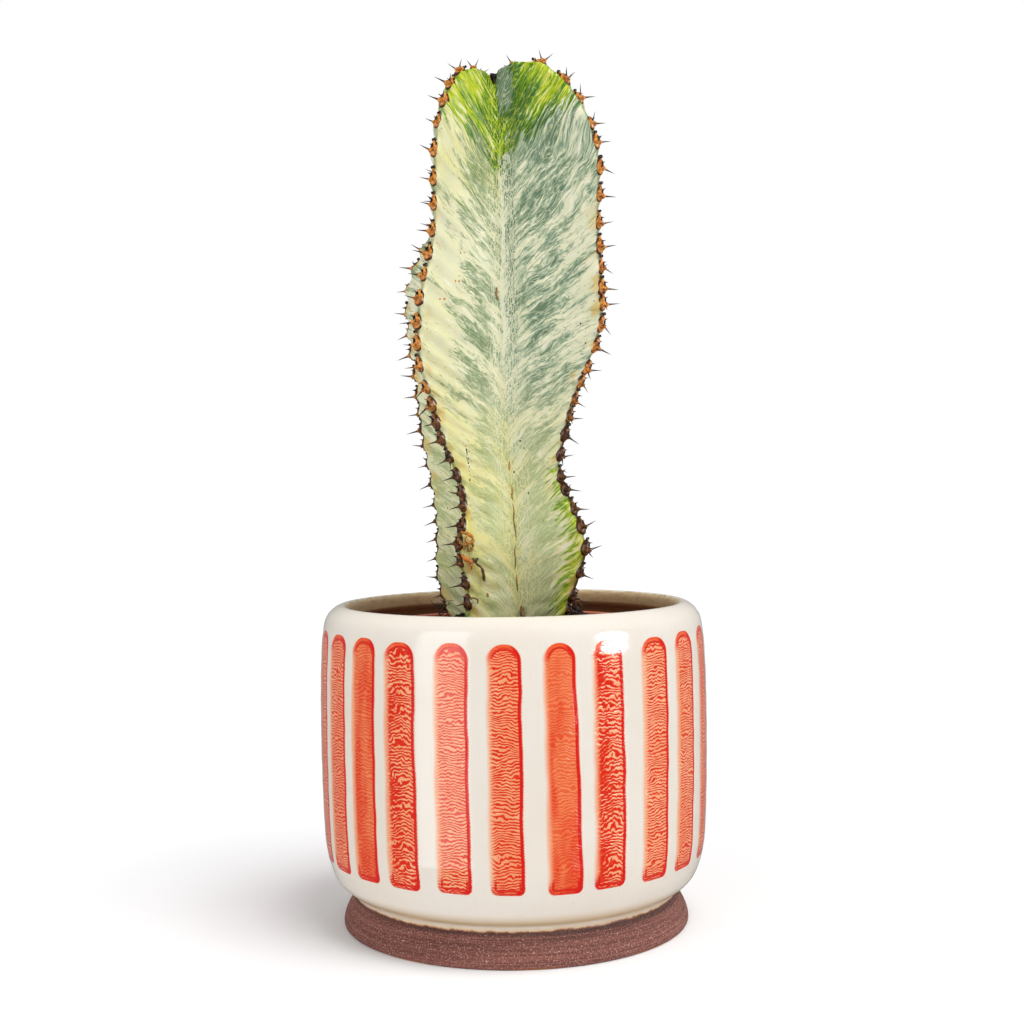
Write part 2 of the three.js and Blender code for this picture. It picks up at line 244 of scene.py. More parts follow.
def ring_faces(rings, sides):
    """The faces of a closed skin, whose points are a first one, rings of them and a last one: quads
    join each ring to the next, and a fan of triangles closes either end."""
    here = np.arange(sides)
    after = (here + 1) % sides
    row = 1 + sides * np.arange(rings - 1)[:, None]
    quads = np.stack([row + here, row + after, row + after + sides, row + here + sides], -1)
    end = 1 + sides * rings
    below = np.stack([0 * here, 1 + after, 1 + here], -1)
    above = np.stack([end - sides + here, end - sides + after, 0 * here + end], -1)
    return below.tolist() + quads.reshape(-1, 4).tolist() + above.tolist()


def revolved(profile, columns):
    """A closed surface of revolution round Z, from a [radius, height] profile that starts and ends
    on the axis: each point between makes a ring of points at its radius and height."""
    angle = np.linspace(0, 2 * np.pi, columns, endpoint=False)
    radius, height = profile[1:-1, 0, None], profile[1:-1, 1, None]
    rings = np.stack([radius * np.cos(angle), radius * np.sin(angle), height + 0 * angle], -1)
    first, last = [0, 0, profile[0, 1]], [0, 0, profile[-1, 1]]
    points = np.vstack([[first], rings.reshape(-1, 3), [last]])
    return points, ring_faces(len(rings), columns)


pot_profile = profile_of(
    [(RECESS, 6), (RECESS_CORNER, 6), (STANDING_RING, 4), (FOOT, 26), (BELLY_AND_RIM, 150), (INSIDE, 56)]
)
pot_points, pot_faces = revolved(pot_profile, POT_COLUMNS)

# The thrower's fingers left faint level ridges on the wall, and it isn't quite round.
bearing = np.arctan2(pot_points[:, 1], pot_points[:, 0])
out = np.hypot(pot_points[:, 0], pot_points[:, 1])
on_wall = (out > 82 * MM) & (pot_points[:, 2] > 28 * MM)
height = pot_points[:, 2] / MM
ridge = 0.03 * np.sin(height / 1.9 + 0.6 * np.sin(bearing)) + 0.012 * np.sin(height / 0.83 + 1.3)
wobble = 0.12 * np.sin(2 * bearing + height / 60) + 0.06 * np.sin(5 * bearing + 1)
swell = np.where(on_wall, (ridge + wobble) * MM, 0)
pot_points[:, :2] *= (1 + swell / np.maximum(out, 1 * MM))[:, None]

# The brush strokes: bearing of each from the front in degrees, to the right, its width in mm, its
# lean in mm from top to bottom, how much of it has gone red, and how even it is, each from 0 to 1
FRONT_STROKES = [
    [-73.3, 15.0, 0.0, 0.5, 0.3],
    [-60.0, 15.4, 0.0, 0.5, 0.2],
    [-46.1, 14.8, 0.0, 0.7, 0.8],
    [-32.4, 15.0, 0.6, 0.95, 0.0],
    [-16.8, 14.3, 0.3, 0.5, 0.0],
    [-2.3, 13.7, 0.2, 0.55, 0.1],
    [13.0, 13.6, 2.0, 0.6, 0.85],
    [26.6, 13.9, 0.6, 1.0, 0.0],
    [42.7, 15.0, -0.5, 0.5, 0.05],
    [57.3, 15.2, -0.5, 0.4, 0.1],
    [72.8, 15.0, 0.0, 0.5, 0.3],
]
BACK_STROKES = 14
BACK_FIRST = FRONT_STROKES[-1][0]
BACK_LAST = 360 + FRONT_STROKES[0][0]
RIPPLES_PER_MM = 0.8
STROKE_BOTTOM = 31.6
STROKE_TOP = 130.3

chance = np.random.default_rng(7)
gap = (BACK_LAST - BACK_FIRST) / (BACK_STROKES + 1)
behind = np.stack(
    [
        BACK_FIRST + gap * np.arange(1, BACK_STROKES + 1) + chance.uniform(-0.9, 0.9, BACK_STROKES),
        chance.uniform(13.8, 15.4, BACK_STROKES),
        chance.uniform(-0.8, 1.0, BACK_STROKES),
        chance.uniform(0.4, 1.0, BACK_STROKES),
        chance.uniform(0.0, 1.0, BACK_STROKES) ** 2 * 0.9,
    ],
    1,
)
strokes = np.vstack([FRONT_STROKES, behind])

pot_finish, tree, shader = principled("cream_and_coral_glaze")
pot = piece("glazed_pot", pot_points, pot_faces, pot_finish)


def corners_of(mesh):
    """For each face corner, the point it stands on and the number of its face."""
    point = np.empty(len(mesh.loops), int)
    mesh.loops.foreach_get("vertex_index", point)
    count = np.empty(len(mesh.polygons), int)
    mesh.polygons.foreach_get("loop_total", count)
    return point, np.repeat(np.arange(len(count)), count)


def corner_values(mesh, name, values):
    """Stores three numbers for each face corner, which the material reads by name."""
    held = mesh.attributes.new(name, "FLOAT_VECTOR", "CORNER")
    held.data.foreach_set("vector", np.ascontiguousarray(values, np.float32).ravel())


# At each corner of a face, across and up are measured in mm from the middle of the nearest stroke.
at_point, at_face = corners_of(pot.data)
middle = np.stack([np.bincount(at_face, pot_points[at_point, axis]) for axis in (0, 1)], 1)
facing = np.degrees(np.arctan2(middle[:, 0], -middle[:, 1]))
away = (facing[:, None] - strokes[:, 0] + 180) % 360 - 180
nearest = np.abs(away).argmin(1)[at_face]
corner = pot_points[at_point]
corner_facing = np.degrees(np.arctan2(corner[:, 0], -corner[:, 1]))
off = (corner_facing - strokes[nearest, 0] + 180) % 360 - 180
up = corner[:, 2] / MM
middle_height = (STROKE_TOP + STROKE_BOTTOM) / 2
lean = strokes[nearest, 2] * (middle_height - up) / (STROKE_TOP - STROKE_BOTTOM)
across = np.radians(off) * POT_RADIUS - lean
half = strokes[nearest, 1] / 2 + 0.4 * strokes[nearest, 2] * (middle_height - up) / 100
is_outside = np.hypot(corner[:, 0], corner[:, 1]) > 80 * MM
FAR_OFF = 40
SEED_STEP = 7.3
corner_values(pot.data, "stroke", np.stack([across + np.where(is_outside, 0, FAR_OFF), up, half], 1))
look = np.stack([nearest * SEED_STEP, strokes[nearest, 3], strokes[nearest, 4]], 1)
corner_values(pot.data, "stroke_look", look)

# How far each point is along the profile, in mm: the finish of the rim follows it.
run = np.append(0, np.cumsum(np.linalg.norm(np.diff(pot_profile, axis=0), axis=1))) / MM
along = pot.data.attributes.new("run", "FLOAT", "POINT")
along.data.foreach_set("value", np.concatenate([run[:1], np.repeat(run[1:-1], POT_COLUMNS), run[-1:]]))
is_crest = pot_profile[:, 1] == pot_profile[:, 1].max()
CREST_RUN = float(run[is_crest][0])
LIP_RUN = run[np.linalg.norm(pot_profile / MM - LIP, axis=1).argmin()]


class Field:
    """A number or vector that changes over a surface: the output of a shader node. Its sums,
    differences, products and powers with numbers or other fields are Math nodes."""

    def __init__(self, socket):
        self.socket = socket

    def __add__(self, other):
        return maths("ADD", self, other)

    def __sub__(self, other):
        return maths("SUBTRACT", self, other)

    def __rsub__(self, other):
        return maths("SUBTRACT", other, self)

    def __mul__(self, other):
        return maths("MULTIPLY", self, other)

    def __pow__(self, other):
        return maths("POWER", self, other)

    def __abs__(self):
        return maths("ABSOLUTE", self)

    __radd__ = __add__
    __rmul__ = __mul__


def made_by(kind, inputs, output=0, **settings):
    """The output of a new node, as a field, in the tree of the first field among its inputs."""
    tree = next(value.socket.id_data for value in inputs.values() if isinstance(value, Field))
    return Field(node(tree, kind, inputs, **settings).outputs[output])


def maths(operation, *values):
    """The result of a Math node on one or two fields or numbers."""
    return made_by("Math", dict(enumerate(values)), operation=operation)


def fade(value, low, high, to_low=0.0, to_high=1.0):
    """A number that goes smoothly from to_low to to_high as value goes from low to high."""
    inputs = {"Value": value, "From Min": low, "From Max": high, "To Min": to_low, "To Max": to_high}
    return made_by("MapRange", inputs, interpolation_type="SMOOTHSTEP")


def blend(factor, first, second):
    """A colour between first, at factor 0, and second, at factor 1."""
    return made_by("Mix", {0: factor, 6: first, 7: second}, 2, data_type="RGBA")


def between(factor, first, second):
    """A number between first, at factor 0, and second, at factor 1."""
    return made_by("Mix", {0: factor, 2: first, 3: second}, data_type="FLOAT")


def vector_of(x, y, z):
    """One vector from three numbers."""
    return made_by("CombineXYZ", {0: x, 1: y, 2: z})


def parts_of(vector):
    """The three numbers of a vector."""
    made = node(vector.socket.id_data, "SeparateXYZ", {0: vector})
    return [Field(socket) for socket in made.outputs]


def read(tree, name, output="Vector"):
    """What a mesh holds under that name, as a vector or as one number."""
    return Field(node(tree, "Attribute", attribute_name=name).outputs[output])


def object_place(tree):
    """Where each point of a piece is, in metres."""
    return Field(node(tree, "TexCoord").outputs["Object"])


# Grain is the noise that every finish of the object is made from: the place times a stretch along X,
# Y and Z, which is how many noise cells there are to each unit, moved by a shift, gives 0 to 1.
grain_group = bpy.data.node_groups.new("grain", "ShaderNodeTree")
GRAIN_INPUTS = {
    "Place": "Vector", "Stretch": "Vector", "Shift": "Vector", "Detail": "Float", "Roughness": "Float",
}
for name, kind in GRAIN_INPUTS.items():
    grain_group.interface.new_socket(name, in_out="INPUT", socket_type="NodeSocket" + kind)
grain_group.interface.new_socket("Share", in_out="OUTPUT", socket_type="NodeSocketFloat")
given = {socket.name: Field(socket) for socket in grain_group.nodes.new("NodeGroupInput").outputs}
cells = made_by("VectorMath", {0: given["Place"], 1: given["Stretch"]}, operation="MULTIPLY")
cells = made_by("VectorMath", {0: cells, 1: given["Shift"]}, operation="ADD")
inputs = {"Vector": cells, "Detail": given["Detail"], "Roughness": given["Roughness"], "Scale": 1.0}
feed(grain_group.nodes.new("NodeGroupOutput"), {"Share": made_by("TexNoise", inputs, "Fac")})


def grain(place, stretch, detail=2.0, rough=0.5, shift=0.0):
    """Grain from 0 to 1 over a place, with its own stretch, detail, roughness and shift."""
    inputs = {"Place": place, "Stretch": stretch, "Shift": (shift,) * 3}
    inputs |= {"Detail": detail, "Roughness": rough}
    return made_by("Group", inputs, "Share", node_tree=grain_group)


def relief(height, distance, strength):
    """A Bump node's normal, from a height field and the distance in mm that 1 of it stands for."""
    return made_by("Bump", {"Height": height, "Distance": distance * MM, "Strength": strength})


PER_MM = 1000
CREAM = srgb(237, 229, 218)
CREAM_THIN = srgb(234, 212, 180)
GLAZE_EDGE = srgb(176, 108, 62)
CORAL = srgb(230, 64, 14)
CORAL_LIGHT = srgb(244, 130, 74)
CORAL_PALE = srgb(248, 184, 140)
CORAL_DEEP = srgb(218, 12, 0)
LIP_GOLD = srgb(212, 186, 146)
LIP_TAN = srgb(176, 142, 104)
INNER_BROWN = srgb(198, 146, 110)
BARE_CLAY = srgb(146, 88, 76)
BARE_CLAY_DARK = srgb(110, 60, 51)
BARE_CLAY_LIGHT = srgb(224, 172, 154)
CREAM_CLOUD = srgb(231, 219, 202)
CREAM_STREAK = srgb(222, 206, 184)
GROOVE_SHADE_TAN = srgb(206, 182, 140)
CORAL_HEAD = srgb(238, 84, 34)
LIP_BROWN = srgb(132, 102, 70)
CLAY_PIT = srgb(62, 36, 32)
GROG_WHITE = srgb(240, 232, 224)
CLAY_WORN = srgb(190, 118, 52)
CLAY_NECK_SHADE = srgb(58, 34, 30)

place = object_place(tree)
height = parts_of(place)[2] * PER_MM
run_mm = read(tree, "run", "Fac")

# Cream glaze: a tan band of painted shade in the groove above the neck, then thinner and warmer below it
cloud = grain(place, (25, 25, 25), 3)
cream = blend(fade(cloud, 0.35, 0.7, 0, 0.35), CREAM, CREAM_CLOUD)
streak = grain(place, (900, 900, 60), 2)
cream = blend(fade(streak, 0.55, 0.75, 0, 0.18), cream, CREAM_STREAK)
warm = fade(height, 24, 17.6) * fade(height, 15.8, 17.2)
cream = blend(warm * 0.85, cream, GROOVE_SHADE_TAN)
ragged = grain(place, (240, 240, 240), 4, 0.6)
edge_height = height + fade(ragged, 0.3, 0.7, -0.35, 0.35)
cream = blend(fade(edge_height, 16.2, 14.4), cream, CREAM_THIN)
cream = blend(fade(edge_height, 14.5, 13.7), cream, GLAZE_EDGE)

# Coral strokes: a box with a round head and small corners at the foot. Rim_gap is how far outside
# it a point is, in mm, and is negative inside.
stroke = read(tree, "stroke")
stroke_x, stroke_z, stroke_half = parts_of(stroke)
seed, redness, evenness = parts_of(read(tree, "stroke_look"))
spread = vector_of(stroke_x, stroke_z, seed)
unsteady = fade(grain(spread, (0.02, 0.06, 1), 1), 0.3, 0.7, -0.25, 0.25)
side = abs(stroke_x + unsteady)
above = stroke_z - middle_height
HEAD_CORNER = 6.4
FOOT_CORNER = 2.6
corner_radius = maths("GREATER_THAN", above, 0.0) * (HEAD_CORNER - FOOT_CORNER) + FOOT_CORNER
length_half = (STROKE_TOP - STROKE_BOTTOM) / 2
uneven = fade(grain(spread, (0.02, 0.02, 1), 1, shift=9), 0.3, 0.7, -0.5, 0.5)
reach = abs(above) + uneven
over_x = side - stroke_half + corner_radius
over_z = reach - length_half + corner_radius
round_part = maths("SQRT", maths("MAXIMUM", over_x, 0.0) ** 2.0 + maths("MAXIMUM", over_z, 0.0) ** 2.0)
flat_part = maths("MINIMUM", maths("MAXIMUM", over_x, over_z), 0.0)
rim_gap = round_part + flat_part - corner_radius

# Inside, the glaze crawled into level red ripples that wander, fork and join.
from_left = fade(stroke_x, -4.5, 5.0)
slow = fade(grain(spread, (0.1, 0.12, 1), 1, shift=40), 0.2, 0.8, -1.1, 1.1)
quick = fade(grain(spread, (0.55, 0.3, 1), 1, shift=47), 0.25, 0.75, -0.3, 0.3)
kink = abs(stroke_x - 1.0) * 0.16
pace = RIPPLES_PER_MM * 1.25 - redness * (RIPPLES_PER_MM * 0.5)
beat = stroke_z * pace + (slow + quick) + kink * redness
swing = maths("SINE", beat * (2 * np.pi))
broken = grain(spread, (0.5, 1.0, 1), 1, 0.5, 55)
ripple = swing * 0.3 + fade(broken, 0.2, 0.8, 0.32, 0.68)
torn = fade(grain(spread, (0.1, 0.05, 1), 1, shift=22), 0.35, 0.65)
redder = (redness - 0.5) * (1.15 - from_left) * (torn + 0.45)
ripple_gap = ripple - (0.49 - redder * 0.42)
crawl = fade(ripple_gap, -0.13, 0.1)
patchy = fade(grain(spread, (0.12, 0.03, 1), 2, shift=17), 0.35, 0.65)
ground = blend(patchy * 0.45, CORAL_PALE, CORAL_LIGHT)
lined = blend(crawl, ground, CORAL)
dense = fade(ripple_gap, 0.06, 0.36)
lined = blend(dense * 0.8, lined, CORAL_DEEP)
washed = blend(fade(patchy, 0.0, 1.0, 0.2, 0.9), CORAL_LIGHT, CORAL)
washed = blend(crawl * 0.28, washed, CORAL_DEEP)
body = blend(evenness, lined, washed)
# It thinned to peach along the left side, and gathered in a red line down the right side, which is
# also painted shade of the stroke's sunken right edge; the line goes over the head, narrower and set
# further in, and along the foot.
left_fade = fade(stroke_x, -4.4, -6.6) * fade(reach, 47, 42)
body = blend(left_fade * 0.75, body, CORAL_PALE)
outer = fade(rim_gap, -1.9, -1.0) * fade(stroke_z, 121, 126)
body = blend(outer * 0.85, body, CORAL_HEAD)
right_line_pooled_and_shaded = fade(rim_gap, -1.75, -1.35) * fade(rim_gap, -0.1, -0.4) * fade(stroke_x, 1.5, 4.5)
end_line = fade(abs(rim_gap + 1.9), 0.7, 0.3) * fade(reach, 42.0, 45.0)
foot_line = fade(rim_gap, -1.3, -0.9) * fade(stroke_z, 35.0, 33.0)
pooled_lines_and_shade = maths("MAXIMUM", right_line_pooled_and_shaded, end_line * 0.9)
pooled_lines_and_shade = maths("MAXIMUM", pooled_lines_and_shade, foot_line * 0.7)
body = blend(pooled_lines_and_shade, body, CORAL_DEEP)
soft_side = fade(stroke_x, -3.0, -5.0, 0.3, 1.1) * fade(reach, 47.5, 44, 0.4, 1.0)
inside_stroke = fade(rim_gap, soft_side, soft_side * -1.0)
glaze = blend(inside_stroke, cream, body)

# Rim and inside: the cream ends on the crest, and the clay shows brown through the thin glaze
over_crest = run_mm - CREST_RUN
lip_grain = grain(place, (260, 260, 700), 3)
lip = blend(fade(over_crest, 1.0, 4.5), LIP_GOLD, LIP_TAN)
lip = blend(fade(lip_grain, 0.45, 0.75, 0, 0.5), lip, LIP_BROWN)
LIP_WIDTH = float(LIP_RUN - CREST_RUN)
lip = blend(fade(over_crest, LIP_WIDTH - 1.2, LIP_WIDTH + 1.5), lip, INNER_BROWN)
crest_edge = over_crest + fade(lip_grain, 0.3, 0.7, -0.5, 0.5)
glaze = blend(fade(crest_edge, 0.2, 1.6), glaze, lip)

# Bare foot: brown stoneware full of fine light grog, ringed by the turning tool
grog = grain(place, (1700, 1700, 1700), 2, 0.7)
rings = grain(place, (18, 18, 1400), 2, shift=5)
clay = blend(fade(rings, 0.35, 0.65), BARE_CLAY_DARK, BARE_CLAY)
clay = blend(fade(grog, 0.56, 0.68, 0, 0.75), clay, BARE_CLAY_LIGHT)
clay = blend(fade(grog, 0.45, 0.34, 0, 0.6), clay, CLAY_PIT)
dust = grain(place, (420, 420, 1500), 2, shift=3)
clay = blend(fade(dust, 0.74, 0.77, 0, 0.9), clay, GROG_WHITE)
worn = fade(height, 1.1, 0.2) * fade(cloud, 0.4, 0.6)
clay = blend(worn * 0.8, clay, CLAY_WORN)
# Painted shade: the top of the foot darkens just under the neck, where the glazed body hangs over it
clay = blend(fade(height, 11.2, 12.8) * 0.55, clay, CLAY_NECK_SHADE)
is_bare = fade(edge_height, 13.75, 13.45)
colour = blend(is_bare, glaze, clay)
feed(shader, {"Base Color": colour})
inside_rough = fade(over_crest, 0.5, 3, 0.09, 0.42)
roughness = between(is_bare, inside_rough, 0.88)
feed(shader, {"Roughness": roughness, "IOR": 1.5})
glaze_height = crawl * inside_stroke * -0.25 + fade(rim_gap, 0.8, -0.8, 0.0, -0.3)
clay_height = grog * 0.7 + rings * 0.6
surface_height = clay_height * is_bare + glaze_height * (1.0 - is_bare)
feed(shader, {"Normal": relief(surface_height, 0.2, 0.8)})

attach(pot, "root")
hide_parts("pot")

# Grow pot
# A thin moulded plastic pot, the colour of terracotta, that the plant was raised in. It stands on
# the outer pot's floor, and its stiffened rim shows just inside the mouth.
GROW_RIM_RADIUS = 64
GROW_RIM_HEIGHT = 130.3
GROW_BASE_RADIUS = 46
GROW_WALL = 1.4
GROW_FOOT = 16.35
GROW_COLUMNS = 160
GROW_RIM_DEPTH = 11


def grow_wall_radius(z):
    """The outer wall's radius at height z: a straight taper from the base to the step under the rim."""
    share = (z - GROW_FOOT) / (GROW_RIM_HEIGHT - GROW_FOOT)
    return GROW_BASE_RADIUS + share * (GROW_RIM_RADIUS - 2.6 - GROW_BASE_RADIUS)


FLOOR_TOP = GROW_FOOT + 1.6
STEP = GROW_RIM_HEIGHT - GROW_RIM_DEPTH
foot_ring = [GROW_BASE_RADIUS - 1.5, GROW_FOOT]
foot_bend = [GROW_BASE_RADIUS - 0.3, GROW_FOOT + 0.5]
wall_foot = [GROW_BASE_RADIUS, GROW_FOOT + 2]
wall_top = [grow_wall_radius(STEP), STEP]
step_bend = [GROW_RIM_RADIUS - 1.2, STEP + 0.1]
rim_foot = [GROW_RIM_RADIUS - 0.9, STEP + 0.8]
rim_side = [GROW_RIM_RADIUS - 0.4, GROW_RIM_HEIGHT - 2]
rim_swell = [GROW_RIM_RADIUS, GROW_RIM_HEIGHT - 1]
rim_top = [[GROW_RIM_RADIUS - 0.5, GROW_RIM_HEIGHT], [GROW_RIM_RADIUS - 1.6, GROW_RIM_HEIGHT]]
rim_inside = [GROW_RIM_RADIUS - 2.2, GROW_RIM_HEIGHT - 0.6]
inside_top = [grow_wall_radius(STEP) - GROW_WALL, STEP - 2]
inside_foot = [grow_wall_radius(FLOOR_TOP) - GROW_WALL, FLOOR_TOP]
grow_profile = profile_of(
    [
        ([[0, GROW_FOOT], [20, GROW_FOOT], foot_ring], 6),
        ([foot_ring, foot_bend, wall_foot], 5),
        ([wall_foot, wall_top], 40),
        ([wall_top, step_bend, rim_foot], 5),
        ([rim_foot, rim_side], 8),
        ([rim_side, rim_swell, *rim_top, rim_inside], 12),
        ([rim_inside, inside_top], 10),
        ([inside_top, inside_foot], 20),
        ([inside_foot, [20, FLOOR_TOP], [0, FLOOR_TOP]], 6),
    ]
)
grow_points, grow_faces = revolved(grow_profile, GROW_COLUMNS)
TERRACOTTA_DARK = srgb(150, 58, 36)
TERRACOTTA = srgb(172, 76, 50)
TERRACOTTA_WORN = srgb(214, 128, 100)
DRIED_MUD = srgb(70, 44, 32)
grow_finish, tree, shader = principled("terracotta_plastic")
place = object_place(tree)
height = parts_of(place)[2] * PER_MM
scuff = grain(place, (120, 120, 500), 4, 0.6)
plastic = blend(fade(scuff, 0.35, 0.7), TERRACOTTA_DARK, TERRACOTTA)
pale_edge = fade(height, GROW_RIM_HEIGHT - 0.9, GROW_RIM_HEIGHT - 0.1)
plastic = blend(pale_edge * 0.8, plastic, TERRACOTTA_WORN)
dirt = grain(place, (300, 300, 300), 4, 0.7, 4)
plastic = blend(fade(dirt, 0.56, 0.72, 0, 0.7), plastic, DRIED_MUD)
feed(shader, {"Base Color": plastic})
feed(shader, {"Roughness": fade(scuff, 0.3, 0.7, 0.35, 0.55)})
feed(shader, {"Normal": relief(scuff, 0.1, 0.5)})
grow_pot = piece("grow_pot", grow_points, grow_faces, grow_finish)
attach(grow_pot, "root")
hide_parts("nursery_pot")

# Potting mix
# Dark peat with crumbs of bark, grit and loose root fibre. It fills the grow pot to below its rim
# and is heaped round the foot of the stem.
SOIL_EDGE_HEIGHT = 123
SOIL_HEAP_HEIGHT = 134
SOIL_BOTTOM = GROW_FOOT + 1.95
SOIL_SIDE_GAP = 0.95
SOIL_COLUMNS = 200


def soil_height(radius):
    """The height of the soil, in mm: level at the edge, with a flat-topped heap round the stem."""
    return SOIL_EDGE_HEIGHT + (SOIL_HEAP_HEIGHT - SOIL_EDGE_HEIGHT) * np.exp(-((radius / 42) ** 4))


def lumps(points, seed, waves, lowest, highest):
    """A sum of plane waves in every direction, from about -1 to 1: an even, lumpy field."""
    chance = np.random.default_rng(seed)
    direction = chance.normal(size=(waves, 3))
    direction /= np.linalg.norm(direction, axis=1)[:, None]
    number = chance.uniform(lowest, highest, waves)
    phase = chance.uniform(0, 2 * np.pi, waves)
    return np.sin(points @ (direction * number[:, None]).T + phase).sum(1) / np.sqrt(waves)


wall_gap = GROW_WALL + SOIL_SIDE_GAP
side_top = SOIL_EDGE_HEIGHT - 8
soil_wall = grow_wall_radius(side_top) - wall_gap
top_radii = np.linspace(soil_wall, 0, 90)
soil_foot = [grow_wall_radius(SOIL_BOTTOM) - wall_gap, SOIL_BOTTOM]
soil_side = np.array([[0, SOIL_BOTTOM], soil_foot, [soil_wall, side_top]])
soil_top = np.stack([top_radii, soil_height(top_radii)], 1)
soil_points, soil_faces = revolved(np.vstack([soil_side, soil_top]) * MM, SOIL_COLUMNS)
is_top = soil_points[:, 2] > (SOIL_EDGE_HEIGHT - 2) * MM
rough_top = 0.55 * lumps(soil_points / MM, 1, 24, 0.25, 0.7)
rough_top += 0.35 * lumps(soil_points / MM, 2, 30, 0.9, 2.6)
soil_points[:, 2] += np.where(is_top, rough_top - 0.5, 0) * MM

PEAT_DARK = srgb(42, 28, 20)
PEAT = srgb(64, 44, 30)
BARK_FLECK = srgb(118, 84, 54)
PEAT_HOLLOW_SHADE = srgb(20, 13, 9)
soil_finish, tree, shader = principled("peat_and_bark")
place = object_place(tree)
speck = grain(place, (900, 900, 900), 4, 0.65)
patch = grain(place, (140, 140, 140), 3)
earth = blend(fade(patch, 0.35, 0.65), PEAT_DARK, PEAT)
earth = blend(fade(speck, 0.55, 0.75, 0, 0.8), earth, BARK_FLECK)
# Painted shade: the low hollows of the bumped surface are darkened
earth = blend(fade(speck, 0.45, 0.3, 0, 0.8), earth, PEAT_HOLLOW_SHADE)
feed(shader, {"Base Color": earth, "Roughness": 0.95})
feed(shader, {"Normal": relief(speck, 0.6, 1.0)})
soil = piece("soil_heap", soil_points, soil_faces, soil_finish)
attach(soil, "root")
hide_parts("soil")


def ball(sides, rings):
    """A unit ball of rings between two poles: its points and its faces."""
    polar = np.pi * np.arange(rings + 1, -1, -1) / (rings + 1)
    profile = np.stack([np.sin(polar), np.cos(polar)], 1)
    return revolved(profile, sides)


def scattered(points, faces, turns, places):
    """Copies of one small shape: each has its own 3 by 3 turn and scale, and its own place."""
    copies = np.einsum("kij,pj->kpi", turns, points) + places[:, None, :]
    starts = len(points) * np.arange(len(places))
    numbers = [[corner + start for corner in face] for start in starts.tolist() for face in faces]
    return copies.reshape(-1, 3), numbers


def random_turns(chance, count):
    """Rotations with no favourite direction, from random unit quaternions."""
    a, b, c, d = (lambda q: q / np.linalg.norm(q, axis=0))(chance.normal(size=(4, count)))
    rows = [
        [1 - 2 * (c * c + d * d), 2 * (b * c - a * d), 2 * (b * d + a * c)],
        [2 * (b * c + a * d), 1 - 2 * (b * b + d * d), 2 * (c * d - a * b)],
        [2 * (b * d - a * c), 2 * (c * d + a * b), 1 - 2 * (b * b + c * c)],
    ]
    return np.transpose(np.array(rows), (2, 0, 1))


CRUMBS = 1500
CRUMB_SMALLEST = 0.35
CRUMB_LARGEST = 1.9
chance = np.random.default_rng(11)
spot = np.sqrt(chance.uniform(0, 1, CRUMBS)) * (soil_wall - 2)
spin = chance.uniform(0, 2 * np.pi, CRUMBS)
size = CRUMB_SMALLEST + (CRUMB_LARGEST - CRUMB_SMALLEST) * chance.uniform(0, 1, CRUMBS) ** 2.5
flat = np.stack([size, size * chance.uniform(0.5, 1, CRUMBS), size * chance.uniform(0.35, 0.8, CRUMBS)], 1)
crumb_points, crumb_faces = ball(6, 3)
crumb_points = crumb_points * (1 + 0.22 * lumps(crumb_points, 5, 12, 1.5, 3))[:, None]
crumb_at = np.stack([spot * np.cos(spin), spot * np.sin(spin), soil_height(spot) + 0.2 * size - 0.2], 1)
turns = random_turns(chance, CRUMBS) * flat[:, None, :]
crumb_mesh = scattered(crumb_points, crumb_faces, turns * MM, crumb_at * MM)
crumbs = piece("soil_crumbs", *crumb_mesh, soil_finish, smooth=False)
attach(crumbs, "root")
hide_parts("soil")


def tube(path, radii, sides):
    """A closed tube along a path, with a radius at each point, and a point at either end. Each ring
    stands square to the path, on two directions carried along with it."""
    along = np.gradient(path, axis=0)
    along /= np.linalg.norm(along, axis=1)[:, None]
    helper = np.where(np.abs(along[:, 2:]).mean() > 0.8, [1.0, 0, 0], [0, 0, 1.0])
    side = np.cross(along, helper)
    side /= np.linalg.norm(side, axis=1)[:, None]
    other = np.cross(along, side)
    angle = np.linspace(0, 2 * np.pi, sides, endpoint=False)[None, :, None]
    ring = side[:, None] * np.cos(angle) + other[:, None] * np.sin(angle)
    rings = path[:, None] + ring * np.asarray(radii)[:, None, None]
    return np.vstack([path[:1], rings.reshape(-1, 3), path[-1:]]), ring_faces(len(path), sides)


def joined(shapes):
    """One shape from several (points, faces) shapes."""
    starts = np.cumsum([0] + [len(points) for points, _ in shapes]).tolist()
    numbered = [
        [corner + start for corner in face]
        for start, (_, faces) in zip(starts, shapes)
        for face in faces
    ]
    return np.vstack([points for points, _ in shapes]), numbered


FIBRES = 150
FIBRE_STEPS = 9
chance = np.random.default_rng(23)
fibres = []
for _ in range(FIBRES):
    near = chance.uniform() < 0.45
    radius = chance.uniform(20, 40) if near else np.sqrt(chance.uniform(0.1, 1)) * (soil_wall - 5)
    bearing = chance.uniform(0, 2 * np.pi)
    heading = bearing + chance.uniform(0, 2 * np.pi) + np.cumsum(chance.normal(0, 0.35, FIBRE_STEPS))
    length = chance.uniform(5, 14) / FIBRE_STEPS
    flat_path = np.cumsum(np.stack([np.cos(heading), np.sin(heading)], 1), 0) * length
    flat_path += radius * np.array([np.cos(bearing), np.sin(bearing)])
    arch = chance.uniform(0.2, 2.2) * np.sin(np.linspace(0, np.pi, FIBRE_STEPS))
    lying = soil_height(np.hypot(*flat_path.T)) + arch - 0.4
    taper = chance.uniform(0.08, 0.2) * np.sin(np.linspace(0.4, np.pi - 0.2, FIBRE_STEPS))
    fibres.append(tube(np.column_stack([flat_path, lying]) * MM, taper * MM, 4))
FIBRE_DARK = srgb(46, 28, 18)
FIBRE_PALE = srgb(104, 70, 42)
fibre_finish, tree, shader = principled("root_fibre")
place = object_place(tree)
tone = grain(place, (60, 60, 60), 2)
strand = blend(fade(tone, 0.35, 0.65), FIBRE_DARK, FIBRE_PALE)
feed(shader, {"Base Color": strand, "Roughness": 0.85})
fibre = piece("soil_fibres", *joined(fibres), fibre_finish)
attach(fibre, "root")
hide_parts("soil")

